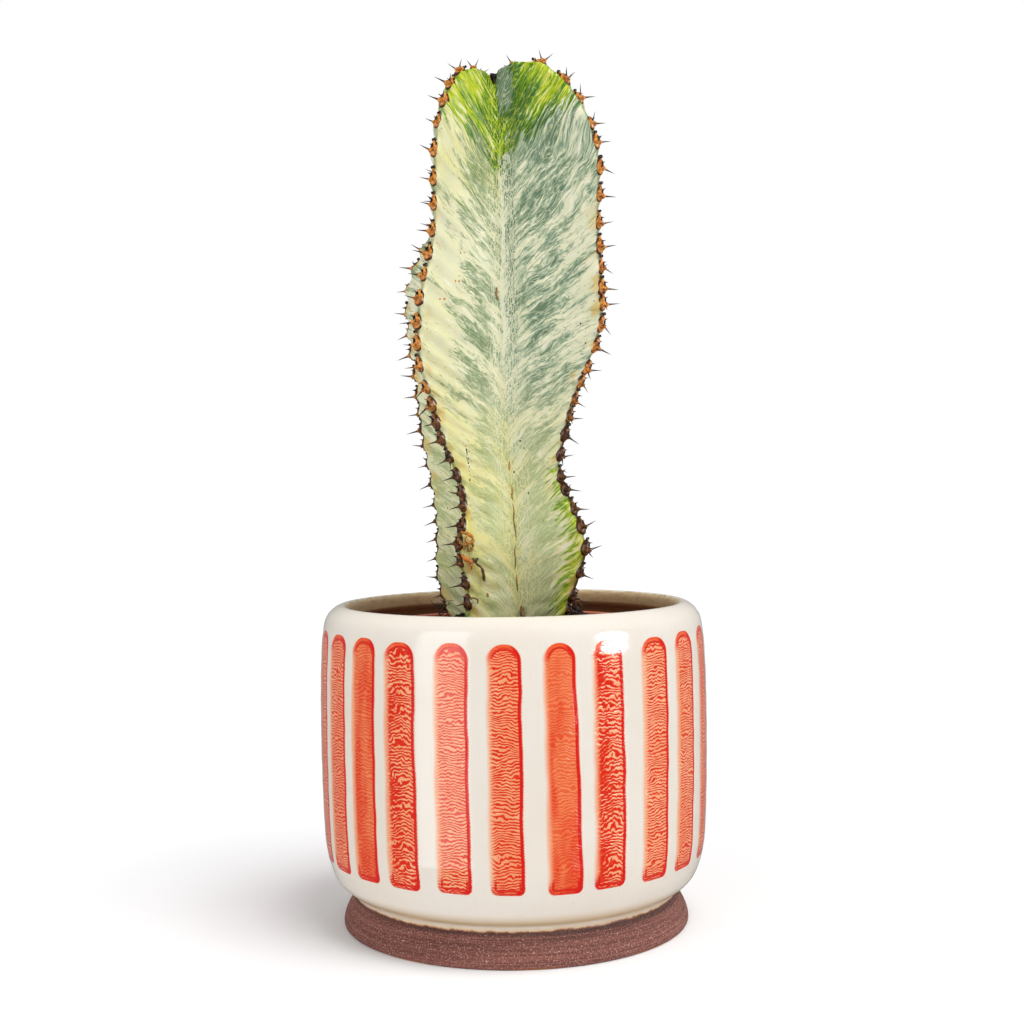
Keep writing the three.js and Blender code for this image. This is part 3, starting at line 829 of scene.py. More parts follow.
# Stem
# A young candelabra tree: one fleshy stem with four thin wavy ribs, whose waxy skin is marbled in
# cream and blue-green and still yellow-green at the growing tip. It swelled and narrowed with each
# season's growth, and it leans a little to the left above its waist.
STEM_BOTTOM = 108
STEM_TIP = 368
TIP = [0, STEM_TIP]
RIB_BEARINGS = [232, 322, 54, 144]
RIB_EDGES = [
    [
        [14, STEM_BOTTOM], [25, 118], [32, 134], [33.2, 148], [38.1, 165], [33, 182], [35.2, 197],
        [43, 212], [48, 228], [54.5, 244], [54.8, 264], [49.5, 282], [44.2, 300], [42.3, 325],
        [40, 340], [34.8, 353], [29, 363], [22.5, 369.5], [15, 371.8], [7, 370.8], TIP,
    ],
    [
        [13, STEM_BOTTOM], [22, 118], [28, 134], [34.5, 150], [39.4, 166], [34.5, 181], [29, 197],
        [33.4, 212], [41, 230], [49.5, 246], [54.8, 260], [55, 280], [54, 300], [55.2, 328],
        [51.2, 345], [44.5, 357], [35.5, 367], [25, 373.6], [14, 374.6], [6, 372.5], TIP,
    ],
    [
        [14, STEM_BOTTOM], [24, 118], [32, 134], [38, 155], [37, 185], [36, 203], [42, 225],
        [48, 250], [50, 280], [48, 312], [44.5, 338], [36, 355], [24, 367], [12, 371], [5, 370], TIP,
    ],
    [
        [16, STEM_BOTTOM], [28, 118], [37, 134], [42.6, 152], [42, 180], [45.2, 212], [47.8, 240],
        [51.6, 262], [51.4, 284], [43.5, 298], [36.5, 311], [33.5, 325], [30, 342], [24, 356],
        [15, 366], [7, 369.5], TIP,
    ],
]
VALLEY = [
    [9, STEM_BOTTOM], [12, 118], [14.5, 134], [15, 160], [13.5, 200], [13.5, 240], [13, 280],
    [12.5, 320], [11.5, 345], [9.5, 358], [6, 365.5], [2.5, 367.6], TIP,
]
LEAN = np.array([[160, 1], [235, -3.9], [300, -4], [STEM_TIP, -5.5]])
RIB_HALF_THICKNESS = 2.5
STEM_ROWS = 350
EDGE_COLUMNS = 6
FLANK_COLUMNS = 28


def eased(keys, x):
    """The value at x of a line through [x, value] keys that is level at each of them."""
    x = np.clip(x, keys[0, 0], keys[-1, 0])
    span = np.clip(np.searchsorted(keys[:, 0], x, "right") - 1, 0, len(keys) - 2)
    share = (x - keys[span, 0]) / (keys[span + 1, 0] - keys[span, 0])
    share = share * share * (3 - 2 * share)
    return keys[span, 1] + (keys[span + 1, 1] - keys[span, 1]) * share


def on_stem(bearing, out, aside, height):
    """A point out from the stem's axis on a bearing, and aside from that bearing, in mm."""
    x = eased(LEAN, height) + out * np.cos(bearing) - aside * np.sin(bearing)
    return np.stack([x, out * np.sin(bearing) + aside * np.cos(bearing), height], -1)


share = np.linspace(0, 1, STEM_ROWS + 1)[:-1]
edges = [smooth_line(keys, share) for keys in RIB_EDGES]
valley = smooth_line(VALLEY, share)

# Where the spine shields sit on three ribs, in the photograph's pixels, and their steps on the
# fourth, in mm, which the photograph hides
LEFT_SHIELDS = [
    [467, 602], [467, 582], [461, 561], [456, 542], [457, 524], [462, 505], [465, 491], [462, 473],
    [455, 454], [450, 435], [445, 419], [440, 402], [429, 386], [423, 364], [422, 343], [416, 321],
    [421, 298], [426, 275], [429, 253], [432, 230], [431, 203], [431, 178], [431, 149], [435, 121],
    [444, 100], [451, 84], [461, 73], [476, 67], [486, 72],
]
RIGHT_SHIELDS = [
    [576, 611], [575, 596], [579, 572], [586, 548], [580, 527], [570, 510], [561, 491], [561, 476],
    [565, 455], [568, 435], [573, 417], [575, 400], [583, 383], [586, 367], [597, 346], [599, 324],
    [603, 303], [603, 287], [602, 267], [599, 246], [597, 222], [595, 194], [597, 167], [598, 141],
    [592, 123], [581, 97], [568, 76], [542, 60], [509, 61],
]
FAR_LEFT_SHIELDS = [
    [445, 606], [443, 593], [436, 576], [435, 557], [435, 538], [436, 520], [438, 503], [433, 483],
    [428, 464], [421, 445], [421, 429], [418, 413], [417, 395], [414, 375], [411, 354], [406, 334],
    [405, 313], [408, 290], [416, 269],
]
HIDDEN_STEPS = np.array([[0.1, 8], [0.45, 8.4], [0.6, 9.6], [0.76, 11.6], [0.88, 11], [1, 5.5]])
EDGE_POINTS = 2400
FIRST_SHIELD = 0.118
LAST_SHIELD = 0.975


def line_length(line):
    """The length of a line of points."""
    return np.linalg.norm(np.diff(line, axis=0), axis=1).sum()


def seen_shares(rib, pixels):
    """For each pixel, the share along the rib at which its edge passes nearest in the picture."""
    bearing = np.radians(RIB_BEARINGS[rib])
    share = np.linspace(0, 1, EDGE_POINTS)
    out, height = smooth_line(RIB_EDGES[rib], share).T
    track = in_picture(on_stem(bearing, out, 0, height) * MM)
    miss = np.linalg.norm(track[None] - np.array(pixels)[:, None], axis=-1)
    return np.sort(share[miss.argmin(1)])


def stepped_shares(rib, first, last, seed):
    """Shares along a rib at the usual steps for their height, each varied by up to a tenth."""
    chance = np.random.default_rng(seed)
    length = line_length(smooth_line(RIB_EDGES[rib], np.linspace(0, 1, EDGE_POINTS)))
    shares = [first]
    while shares[-1] < last:
        step = eased(HIDDEN_STEPS, shares[-1]) / length
        shares.append(shares[-1] + step * chance.uniform(0.9, 1.1))
    return np.array(shares[:-1])


far_left = seen_shares(3, FAR_LEFT_SHIELDS)
shield_shares = [
    seen_shares(0, LEFT_SHIELDS),
    seen_shares(1, RIGHT_SHIELDS),
    stepped_shares(2, FIRST_SHIELD, LAST_SHIELD, 3),
    np.append(far_left, stepped_shares(3, far_left[-1] + 0.033, LAST_SHIELD, 4)),
]

# Columns from one rib's edge over its flank to the valley, as t from 0 to 1, and back up the next.
ROUND_SHARE = 0.06
edge_t = ROUND_SHARE * np.linspace(0, 1, EDGE_COLUMNS, endpoint=False)
flank_t = np.linspace(ROUND_SHARE, 1, FLANK_COLUMNS + 1)
half_t = np.append(edge_t, flank_t)
HALF_COLUMNS = len(half_t) - 1
FACE_COLUMNS = 2 * HALF_COLUMNS
NOTCH = 1.15


def shield_phase(rib, share):
    """Counts shields along a rib: a whole number at each of them, halves midway between."""
    known = shield_shares[rib]
    step = np.diff(known).mean()
    known = np.concatenate([[known[0] - step * 12], known, [known[-1] + step * 12]])
    return np.interp(share, known, np.concatenate([[-12], np.arange(len(known) - 2), [len(known) + 9]]))


def half_face(rib, side, half_angle):
    """Half a face of the stem, from the crest of a rib's edge to the valley: rows by columns.

    The edge is a quarter of an ellipse. From there the thickness grows with the power 1.45 of the
    way in, which leaves the flank hollow, and the height falls from the edge's to the valley's."""
    out, height = edges[rib].T[:, :, None]
    root_out = valley[:, :1] * np.cos(half_angle)
    root_aside = valley[:, :1] * np.sin(half_angle)
    half = np.minimum(RIB_HALF_THICKNESS, 0.35 * out)
    midway = 0.5 - 0.5 * np.cos(2 * np.pi * shield_phase(rib, share))[:, None]
    out = out - NOTCH * midway * np.clip((out - 8) / 10, 0, 1)
    quarter = np.minimum(half_t / ROUND_SHARE, 1) * np.pi / 2
    inward = np.clip((half_t - ROUND_SHARE) / (1 - ROUND_SHARE), 0, 1)
    crest = out + 0.2 * half
    shoulder = out - 0.75 * half
    reach = crest + (shoulder - crest) * (1 - np.cos(quarter)) + (root_out - shoulder) * inward
    aside = half * np.sin(quarter) + (root_aside - half) * inward**1.45
    rise = height + (valley[:, 1:] - height) * inward
    return on_stem(np.radians(RIB_BEARINGS[rib]), reach, side * aside, rise)


faces_xyz = []
for rib in range(4):
    following = (rib + 1) % 4
    half_angle = np.radians((RIB_BEARINGS[following] - RIB_BEARINGS[rib]) % 360) / 2
    first = half_face(rib, 1, half_angle)
    second = half_face(following, -1, half_angle)[:, ::-1]
    faces_xyz.append(np.concatenate([first, second[:, 1:]], 1))
skin = np.stack(faces_xyz, 1)

# Across is the signed distance in mm from the valley line along each row, climb the length of the
# valley below the row, level_away the level distance to one side of it, and barb the height at
# which the streak through a point leaves the valley: streaks rise at a slope that grows upwards.
step_in = np.linalg.norm(np.diff(skin, axis=2), axis=-1)
across = np.concatenate([np.zeros(skin.shape[:2] + (1,)), np.cumsum(step_in, 2)], 2)
across -= across[:, :, HALF_COLUMNS : HALF_COLUMNS + 1]
half_width = np.maximum(-across[:, :, :1], 1)
half_width = np.where(across < 0, half_width, np.maximum(across[:, :, -1:], 1))
VALLEY_LENGTH = line_length(valley)
climb = (share * VALLEY_LENGTH)[:, None, None] + 0 * across
STREAK_SLOPE = np.array(
    [[108, 0.85], [200, 0.75], [265, 0.64], [300, 0.72], [325, 0.95], [350, 1.35], [375, 1.5]]
)
z_mm = skin[..., 2]
away = np.abs(across)
rib_bearings = np.array(RIB_BEARINGS)
faces_towards = np.radians(rib_bearings + (np.roll(rib_bearings, -1) - rib_bearings) % 360 / 2)
faces_towards = faces_towards[None, :, None]
from_axis = skin[..., 0] - eased(LEAN, z_mm)
sideways = skin[..., 1] * np.cos(faces_towards) - from_axis * np.sin(faces_towards)
level_away = np.abs(sideways)
lag = eased(STREAK_SLOPE, z_mm) * level_away + 5.5 * (1 - np.exp(-away / 4))
barb = z_mm - lag


def ramped(values, low, high):
    """0 below low, 1 above high and smooth between, either way round."""
    share = np.clip((values - low) / (high - low), 0, 1)
    return share * share * (3 - 2 * share)


# Low ridges follow the streaks out to the shields and fade towards the valley.
phase = np.empty_like(across)
for face in range(4):
    for columns, rib in ((slice(0, HALF_COLUMNS + 1), face), (slice(HALF_COLUMNS, None), (face + 1) % 4)):
        end = 0 if rib == face else -1
        lead = barb[:, face, columns] - barb[:, face, end : end + 1 or None]
        phase[:, face, columns] = shield_phase(rib, share[:, None] + lead / line_length(edges[rib]))
nearness = np.clip(away / half_width, 0, 1)
row_step = np.gradient(skin, axis=0)
column_step = np.gradient(skin, axis=2)
normal = np.cross(column_step, row_step)
normal /= np.maximum(np.linalg.norm(normal, axis=-1), 1e-9)[..., None]
RIDGE = 0.7
window = np.clip((nearness - 0.15) / 0.6, 0, 1) ** 1.5 * np.clip((1 - nearness) / 0.08, 0, 1)
window *= np.clip(half_width / 25, 0, 1) * np.clip((1 - share) / 0.08, 0, 1)[:, None, None]
flat_skin = (skin.reshape(-1, 3) * [1, 1, 0.6])
dents = 0.28 * lumps(flat_skin, 8, 40, 0.06, 0.35).reshape(across.shape)
ridge = RIDGE * (0.35 + 0.65 * ramped(skin[..., 2], 200, 250))
push = ridge * np.cos(2 * np.pi * phase) * window + dents * np.clip(half_width / 25, 0, 1) * window**0.3
skin = skin + normal * push[..., None]

# The four faces become one closed ring of columns, and the valleys are rounded a little by
# averaging each point near them with its neighbours.
SMOOTHINGS = 14
ring = skin[:, :, :-1].reshape(STEM_ROWS, -1, 3)
ring_across = away[:, :, :-1].reshape(STEM_ROWS, -1, 1)
soften = np.exp(-((ring_across / 3.0) ** 2)) * 0.9
for smoothing in range(SMOOTHINGS):
    beside = (np.roll(ring, 1, 1) + np.roll(ring, -1, 1)) / 2
    ring = ring + soften * (beside - ring)

RING_COLUMNS = 4 * FACE_COLUMNS
bottom_point = on_stem(0.0, 0.0, 0.0, float(STEM_BOTTOM))
top_point = on_stem(0.0, 0.0, 0.0, float(STEM_TIP))
stem_points = np.vstack([[bottom_point], ring.reshape(-1, 3), [top_point]]) * MM

# What each face corner reads off the grid of its own face, so that nothing smears over an edge
face_of, column_of = np.divmod(np.arange(RING_COLUMNS), FACE_COLUMNS)
grid_rows = np.arange(STEM_ROWS - 1)[:, None]
quad_at = [
    (grid_rows, face_of, column_of),
    (grid_rows, face_of, column_of + 1),
    (grid_rows + 1, face_of, column_of + 1),
    (grid_rows + 1, face_of, column_of),
]


def at_corners(values):
    """Values on the rows, faces and columns of the skin, read at every face corner of the mesh."""
    bottom_left, bottom_right = (values[0, face_of, column_of + step] for step in (0, 1))
    top_left, top_right = (values[-1, face_of, column_of + step] for step in (0, 1))
    bottom = np.stack([values[0, 0, 0] + 0 * bottom_left, bottom_right, bottom_left], -1)
    sides = np.stack([values[at] for at in quad_at], -1)
    top = np.stack([top_left, top_right, top_left], -1)
    return np.concatenate([bottom.ravel(), sides.ravel(), top.ravel()])


# Green is how much of the skin is marbled green, yellow how far the cream has yellowed, and lime
# how far it is still the fresh colour of the tip. Each is a smooth field over the skin.
FACE_APART = 90
face_number = np.arange(4)[None, :, None] + 0 * across
is_right = ramped(across, -1, 3)
green = 0.6 + 0.06 * is_right
green -= 0.28 * ramped(nearness, 0.35, 0.8) * (1 - is_right) * (face_number != 3)
green -= 0.2 * ramped(nearness, 0.5, 0.95) * is_right
green += 0.16 * ramped(z_mm, 310, 335) * ramped(away, 15, 6)
green += 0.08 * ramped(z_mm, 235, 190) * (1 - is_right)
green += 0.08 * (face_number == 2) - 0.08 * (face_number == 3)
green += ramped(z_mm, 300, 325) * (0.06 + 0.05 * is_right)
teal = ramped(sideways, 0.2, 1.5) * ramped(sideways, 8.5, 5) * ramped(z_mm, 348, 358)
yellow = 0.14 + 0.16 * (1 - is_right) + 0.55 * ramped(z_mm, 250, 190) * (1 - 0.3 * is_right)
yellow += 0.15 * ramped(across, -20, -34) * ramped(z_mm, 300, 250)
yellow += 0.35 * ramped(z_mm, 300, 330) * (1 - is_right)
yellow += 0.3 * ramped(z_mm, 190, 150) * ramped(nearness, 0.5, 0.9)
yellow *= np.where(face_number == 3, 0.45, 1)
lime = ramped(z_mm - 0.8 * level_away, 322, 344) * (1 - is_right)
lime += ramped(z_mm - 0.7 * level_away, 322, 345) * is_right
lime += 0.6 * ramped(z_mm, 316, 336) * np.exp(-((away / 6) ** 2)) * (1 - 0.6 * is_right)
lime += 0.7 * ramped(z_mm, 224, 178) * ramped(nearness, 0.45, 0.95) * is_right
lime += 0.15 * ramped(z_mm, 190, 150) * ramped(nearness, 0.3, 0.9)
lime = np.clip(lime, 0, 1) * (1 - 0.85 * teal)
green = green + 1.5 * teal

stem_finish, tree, shader = principled("marbled_skin")
stem = piece("marbled_stem", stem_points, ring_faces(STEM_ROWS, RING_COLUMNS), stem_finish)
held = {
    "streak": (across, barb, face_number * FACE_APART),
    "tint": (green, yellow, lime),
    "spot_on_rib": (climb, half_width - away, 0 * away),
}
for name, values in held.items():
    corner_values(stem.data, name, np.stack([at_corners(value) for value in values], 1))


def cell_edges(vector, stretch):
    """How far a vector is from the edges of random cells, whose number to each unit is the stretch."""
    stretched = made_by("VectorMath", {0: vector, 1: stretch}, operation="MULTIPLY")
    return made_by("TexVoronoi", {"Vector": stretched, "Scale": 1.0}, feature="DISTANCE_TO_EDGE")


SKIN_CREAM = srgb(238, 236, 212)
SKIN_YELLOW = srgb(230, 222, 130)
SKIN_SAGE = srgb(146, 172, 144)
SKIN_SAGE_DEEP = srgb(84, 118, 92)
SKIN_OLIVE = srgb(132, 150, 72)
SKIN_LIME = srgb(206, 214, 22)
SKIN_LEAF = srgb(92, 150, 6)
SKIN_LEAF_DEEP = srgb(36, 92, 8)
OCHRE = srgb(222, 186, 92)
SKIN_CLOUD = srgb(218, 222, 190)
SKIN_WHITE = srgb(250, 248, 236)
LIME_STREAK = srgb(150, 186, 16)
LIME_HAIR = srgb(226, 222, 92)
LOW_GREEN_PAINTED_LIGHT = srgb(180, 200, 124)
EDGE_GREEN = srgb(120, 140, 74)
FRECKLE_BROWN = srgb(110, 112, 62)
PALE_LINE = srgb(236, 240, 224)

streak = read(tree, "streak")
place = object_place(tree)
across_mm, barb_mm, face_mm = parts_of(streak)
green_share, yellow_share, lime_field = parts_of(read(tree, "tint"))
climb_mm, rib_gap = parts_of(read(tree, "spot_on_rib"))[:2]
height = parts_of(place)[2] * PER_MM
upright = vector_of(across_mm, climb_mm, face_mm)
aside = abs(across_mm)

# Streaks: broad patches, strands within them and hair lines, all drawn out along the barbs
bend = grain(streak, (0.06, 0.1, 1), 2, shift=50)
waved = barb_mm + fade(bend, 0.3, 0.7, -1.3, 1.3)
flow = vector_of(across_mm, waved, face_mm)
broad = grain(flow, (0.045, 0.13, 1), 2, 0.5)
strand = grain(flow, (0.12, 0.55, 1), 2, 0.6, 13)
hair = grain(flow, (0.34, 1.8, 1), 3, 0.7, 29)
mixed = broad * 0.38 + strand * 0.32 + hair * 0.3
excess = mixed - (0.65 - green_share * 0.28)
streaks = fade(excess, -0.03, 0.05)
# Near the valley the green breaks up into a net of small cells drawn out up the stem, and cream
# veins run through the broad patches.
jitter = grain(upright, (0.5, 0.3, 1), 2, shift=61)
jittered = vector_of(across_mm, climb_mm + fade(jitter, 0.3, 0.7, -1.5, 1.5), face_mm)
net = cell_edges(jittered, (0.8, 0.4, 1))
net_mask = fade(net, 0.04, 0.16)
netted = fade(aside, 12, 4, 0, 0.85) * fade(green_share, 1.3, 1.0)
veins = cell_edges(flow, (0.2, 0.62, 1))
vein_mask = fade(veins + fade(hair, 0.3, 0.7, -0.06, 0.1), 0.02, 0.12, 0.55, 1.0)
broken = streaks * between(netted, vein_mask, net_mask)
# A pale line runs up the valley with a dark dotted band on its right.
wander = fade(grain(upright, (0.0, 0.045, 1), 2, shift=70), 0.3, 0.7, -0.8, 0.8)
from_line = across_mm + wander
line_height = fade(height, 225, 262) * fade(height, 345, 312)
line_gaps = fade(net, 0.3, 0.1, fade(height, 300, 330, 0.6, 0.0), 0.9)
pale_line = fade(abs(from_line), 1.4, 0.5) * line_height * line_gaps
band_at = abs(from_line - 5.2)
dark_band = fade(band_at, 3.0, 1.2) * fade(height, 225, 262) * fade(net, 0.05, 0.2, 0.25, 1.0)
marbled = maths("MAXIMUM", broken, dark_band * 0.9) * (1.0 - pale_line * 0.95)

ground = blend(yellow_share, SKIN_CREAM, SKIN_YELLOW)
cloud = grain(streak, (0.07, 0.11, 1), 3, 0.5, 5)
ground = blend(fade(cloud, 0.42, 0.68, 0, 0.5), ground, SKIN_CLOUD)
ground = blend(fade(strand, 0.4, 0.3, 0, 0.5), ground, SKIN_WHITE)
fresh = blend(fade(strand, 0.42, 0.6), SKIN_LIME, LIME_STREAK)
fresh = blend(fade(hair, 0.5, 0.36, 0, 0.6), fresh, LIME_HAIR)
frayed = fade(strand, 0.3, 0.7, -0.6, 0.6) * fade(lime_field, 0.02, 0.3)
lime_share = fade(lime_field + frayed, 0.25, 0.75)
ground = blend(lime_share, ground, fresh)
deep = maths("MAXIMUM", fade(excess, 0.02, 0.11), dark_band * 0.8)
green_skin = blend(deep, SKIN_SAGE, SKIN_SAGE_DEEP)
warm = yellow_share * 0.6 + fade(across_mm, 2, -2, 0, 0.3)
green_skin = blend(warm, green_skin, SKIN_OLIVE)
# Low on the stem the green is yellower, and paler as painted light, which offsets the shade near the pot's
# mouth
low_painted_light = fade(height, 235, 180, 0, 0.6)
green_skin = blend(low_painted_light, green_skin, LOW_GREEN_PAINTED_LIGHT)
leaf = blend(deep, SKIN_LEAF, SKIN_LEAF_DEEP)
green_skin = blend(lime_share, green_skin, leaf)
faint = fade(height, 262, 205, 0.97, 0.72)
skin_colour = blend(marbled * faint, ground, green_skin)

# Yellowed blotches beside the shields, and a thin green line along each edge
blotch = grain(streak, (0.09, 0.1, 1), 2, shift=90)
ochre = fade(blotch, 0.5, 0.66) * fade(rib_gap, 10, 2.5) * fade(height, 330, 280)
skin_colour = blend(ochre * 0.75, skin_colour, OCHRE)
edge_line = fade(rib_gap, 1.3, 0.5)
skin_colour = blend(edge_line * 0.5, skin_colour, EDGE_GREEN)
freckle = grain(place, (900, 900, 900), 2, 0.5, 77)
skin_colour = blend(fade(freckle, 0.69, 0.73, 0, 0.55), skin_colour, FRECKLE_BROWN)
skin_colour = blend(pale_line * 0.45, skin_colour, PALE_LINE)
feed(shader, {"Base Color": skin_colour})

wax = grain(place, (140, 140, 140), 3, shift=2)
feed(shader, {"Roughness": fade(wax, 0.3, 0.7, 0.42, 0.56)})
feed(shader, {"Specular IOR Level": 0.3, "Subsurface Weight": 0.12})
feed(shader, {"Subsurface Radius": (1.0, 1.0, 0.5), "Subsurface Scale": 1.2 * MM})
fine = grain(place, (1500, 1500, 1500), 2)
lift = strand * 0.8 + fine * 0.12
feed(shader, {"Normal": relief(lift, 0.5, 0.5)})
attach(stem, "root")
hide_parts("stem")

# Spine shields
# Horny plates in a row along the edge of each rib, one to each tooth. Each is a shiny teardrop
# with a dark leaf scar, a pair of stout spines, two small prickles and a bud above it. They are
# orange-brown where they are young and almost black low on the stem.
SHIELD_WIDTH = 4.4
SHIELD_LENGTH = 7.0
SHIELD_RISE = 1.1
EYE_ABOVE = 1.5
SPINE_LENGTH = 5.6
SPINE_RADIUS = 0.42
PRICKLE_LENGTH = 1.5


def shield_frames(rib):
    """At each shield of a rib: its place, in mm, and the directions across, along and out."""
    at = shield_shares[rib]
    nudge = 0.004
    here, ahead, behind = (
        smooth_line(RIB_EDGES[rib], np.clip(at + shift, 0, 1)) for shift in (0, nudge, -nudge)
    )
    along = (ahead - behind) / np.linalg.norm(ahead - behind, axis=1)[:, None]
    bearing = np.radians(RIB_BEARINGS[rib])
    outward = np.array([np.cos(bearing), np.sin(bearing), 0])
    upward = np.array([0, 0, 1.0])
    y_axis = along[:, :1] * outward + along[:, 1:] * upward
    z_axis = along[:, 1:] * outward - along[:, :1] * upward
    x_axis = np.cross(y_axis, z_axis)
    place = on_stem(bearing, here[:, 0], 0 * here[:, 0], here[:, 1])
    return place, np.stack([x_axis, y_axis, z_axis], 2), at


frames = [shield_frames(rib) for rib in range(4)]
shield_at = np.vstack([place for place, axes, at in frames])
shield_axes = np.vstack([axes for place, axes, at in frames])
shield_share = np.concatenate([at for place, axes, at in frames])
SHIELDS = len(shield_at)
chance = np.random.default_rng(41)
shield_size = np.where(shield_share > 0.9, 1 - 0.45 * (shield_share - 0.9) / 0.1, 1)
shield_size = shield_size * chance.uniform(0.88, 1.08, SHIELDS)
age = ramped(shield_at[:, 2], 244, 208) * 0.92 + chance.uniform(-0.08, 0.08, SHIELDS)

# Plate: rings round the leaf scar, out to the teardrop's edge and in again underneath
PLATE_SIDES = 16
PLATE_RINGS = np.array([0.08, 0.16, 0.26, 0.42, 0.62, 0.8, 0.93, 1.0, 0.9])
around = np.linspace(0, 2 * np.pi, PLATE_SIDES, endpoint=False)
reach = PLATE_RINGS[:, None]
plate_x = reach * SHIELD_WIDTH / 2 * np.sin(around) * (1 - 0.3 * np.cos(around) * reach)
plate_y = reach * SHIELD_LENGTH / 2 * np.cos(around) + EYE_ABOVE * (1 - reach)
dome = SHIELD_RISE * (1 - reach**2.6)
scar = 0.16 * np.exp(-(((reach - 0.25) / 0.08) ** 2)) - 0.7 * np.exp(-((reach / 0.14) ** 2))
boss = 0.35 * np.exp(-((plate_x / 1.4) ** 2) - ((plate_y + 0.8) / 1.2) ** 2)
plate_z = dome + scar + boss - 0.14 * plate_x**2 + 0.3
plate_z[-2] -= 0.7
plate_z[-1] -= 1.6
rings = np.stack([plate_x, plate_y, plate_z], -1).reshape(-1, 3)
centre = [[0, EYE_ABOVE, SHIELD_RISE - 0.5]]
under = [[0, 0, -1.6]]
plate_points = np.vstack([under, rings[::-1].reshape(-1, 3), centre])
plate_faces = ring_faces(len(PLATE_RINGS), PLATE_SIDES)
rim_tone = np.concatenate([[1], np.repeat(PLATE_RINGS[::-1], PLATE_SIDES), [0]])


def horn_spine(length, radius, bow, flare=2.2, sides=6, steps=6):
    """A spine along +Z: a cone with a flared root, thinning with a power of its length, and bowed."""
    t = np.linspace(0, 1, steps + 1)[:-1]
    width = radius * (1 - t) ** 0.8 * (1 + flare * np.exp(-t / 0.09))
    profile = np.vstack([[0, -0.8], np.stack([width, t * length], 1), [0, length]])
    points, faces = revolved(profile, sides)
    points[:, 0] += bow * (points[:, 2] / length).clip(0, 1) ** 2
    return points, faces


def tilted(axes, sideways, upwards, roll=0.0):
    """Turns each frame: leans its out direction sideways and then along, by angles in radians. The
    plane in which it leans sideways is first rolled about the out direction."""
    x, y, z = axes[:, :, 0], axes[:, :, 1], axes[:, :, 2]
    roll = roll + 0 * sideways
    side = x * np.cos(roll)[:, None] + y * np.sin(roll)[:, None]
    lean = z * np.cos(sideways)[:, None] + side * np.sin(sideways)[:, None]
    out = lean * np.cos(upwards)[:, None] + y * np.sin(upwards)[:, None]
    out /= np.linalg.norm(out, axis=1)[:, None]
    side = np.cross(y, out)
    side /= np.linalg.norm(side, axis=1)[:, None]
    return np.stack([side, np.cross(out, side), out], 2)


def moved(places, axes, x, y, z):
    """Places shifted along their own axes, in mm."""
    shift = np.stack([x + 0 * places[:, 0], y + 0 * places[:, 0], z + 0 * places[:, 0]], 1)
    return places + np.einsum("kij,kj->ki", axes, shift)


horn_parts = []
horn_tones = []


def add_horn(template, axes, places, scale, tone, only=None):
    """Adds copies of one horn shape and the tones of their points: age, tip and rim."""
    pick = np.ones(len(places), bool) if only is None else only
    points, faces = template
    turns = axes[pick] * scale[pick][:, None, None]
    horn_parts.append(scattered(points, faces, turns, places[pick]))
    tones = np.repeat(age[pick], len(points))
    tip, rim = (np.tile(values, pick.sum()) for values in tone)
    horn_tones.append(np.stack([tones, tip, rim], 1))


add_horn((plate_points, plate_faces), shield_axes, shield_at, shield_size, (0 * rim_tone, rim_tone))
roll = np.radians(chance.normal(0, 22, SHIELDS))
for side in (-1, 1):
    first = chance.uniform(size=SHIELDS) < 0.5
    spread = side * np.radians(chance.uniform(34, 50, SHIELDS))
    lift = np.radians(chance.uniform(-12, 16, SHIELDS) - 12 * ramped(shield_share, 0.75, 0.55))
    axes = tilted(shield_axes, spread, lift, roll)
    scale = shield_size * chance.uniform(0.8, 1.15, SHIELDS)
    places = moved(shield_at, shield_axes, side * 0.8, -0.7, SHIELD_RISE + 0.1)
    for bow, chosen in ((-0.4, first), (0.5, ~first)):
        template = horn_spine(SPINE_LENGTH, SPINE_RADIUS, bow)
        tip = (template[0][:, 2] / SPINE_LENGTH).clip(0, 1)
        add_horn(template, axes, places, scale, (tip, 0.5 + 0 * tip), chosen)
    template = horn_spine(PRICKLE_LENGTH, 0.3, 0.1, flare=0.6, sides=5, steps=3)
    spread = side * np.radians(chance.uniform(25, 65, SHIELDS))
    axes = tilted(shield_axes, spread, np.radians(chance.uniform(0, 40, SHIELDS)))
    places = moved(shield_at, shield_axes, side * chance.uniform(1.3, 1.7, SHIELDS), 2.1, SHIELD_RISE - 0.7)
    tip = 0.55 + 0.45 * (template[0][:, 2] / PRICKLE_LENGTH).clip(0, 1)
    add_horn(template, axes, places, shield_size * chance.uniform(0.6, 1.3, SHIELDS), (tip, 0.5 + 0 * tip))

# Bud: a dark knob in two halves on a narrow neck above the shield, missing from some
bud_points, bud_faces = ball(7, 4)
has_bud = chance.uniform(size=SHIELDS) < 0.85
lean = np.radians(chance.uniform(-30, 30, SHIELDS))
bud_axes = tilted(shield_axes, lean, np.radians(chance.uniform(0, 30, SHIELDS)))
bud_up = chance.uniform(4.0, 4.9, SHIELDS)
bud_size = shield_size * chance.uniform(0.8, 1.15, SHIELDS)
plain = 0 * bud_points[:, 0]
for side in (-1, 1):
    places = moved(shield_at, shield_axes, side * 0.45, bud_up + side * 0.1, 0.35)
    knob = (bud_points * [0.62, 0.72, 0.75], bud_faces)
    add_horn(knob, bud_axes, places, bud_size, (plain + 0.42, plain + 0.5), has_bud)
neck = (bud_points * [0.55, 1.5, 0.7], bud_faces)
neck_at = moved(shield_at, shield_axes, 0, bud_up - 1.3, 0.1)
add_horn(neck, shield_axes, neck_at, shield_size, (plain + 0.1, plain + 0.5), has_bud)

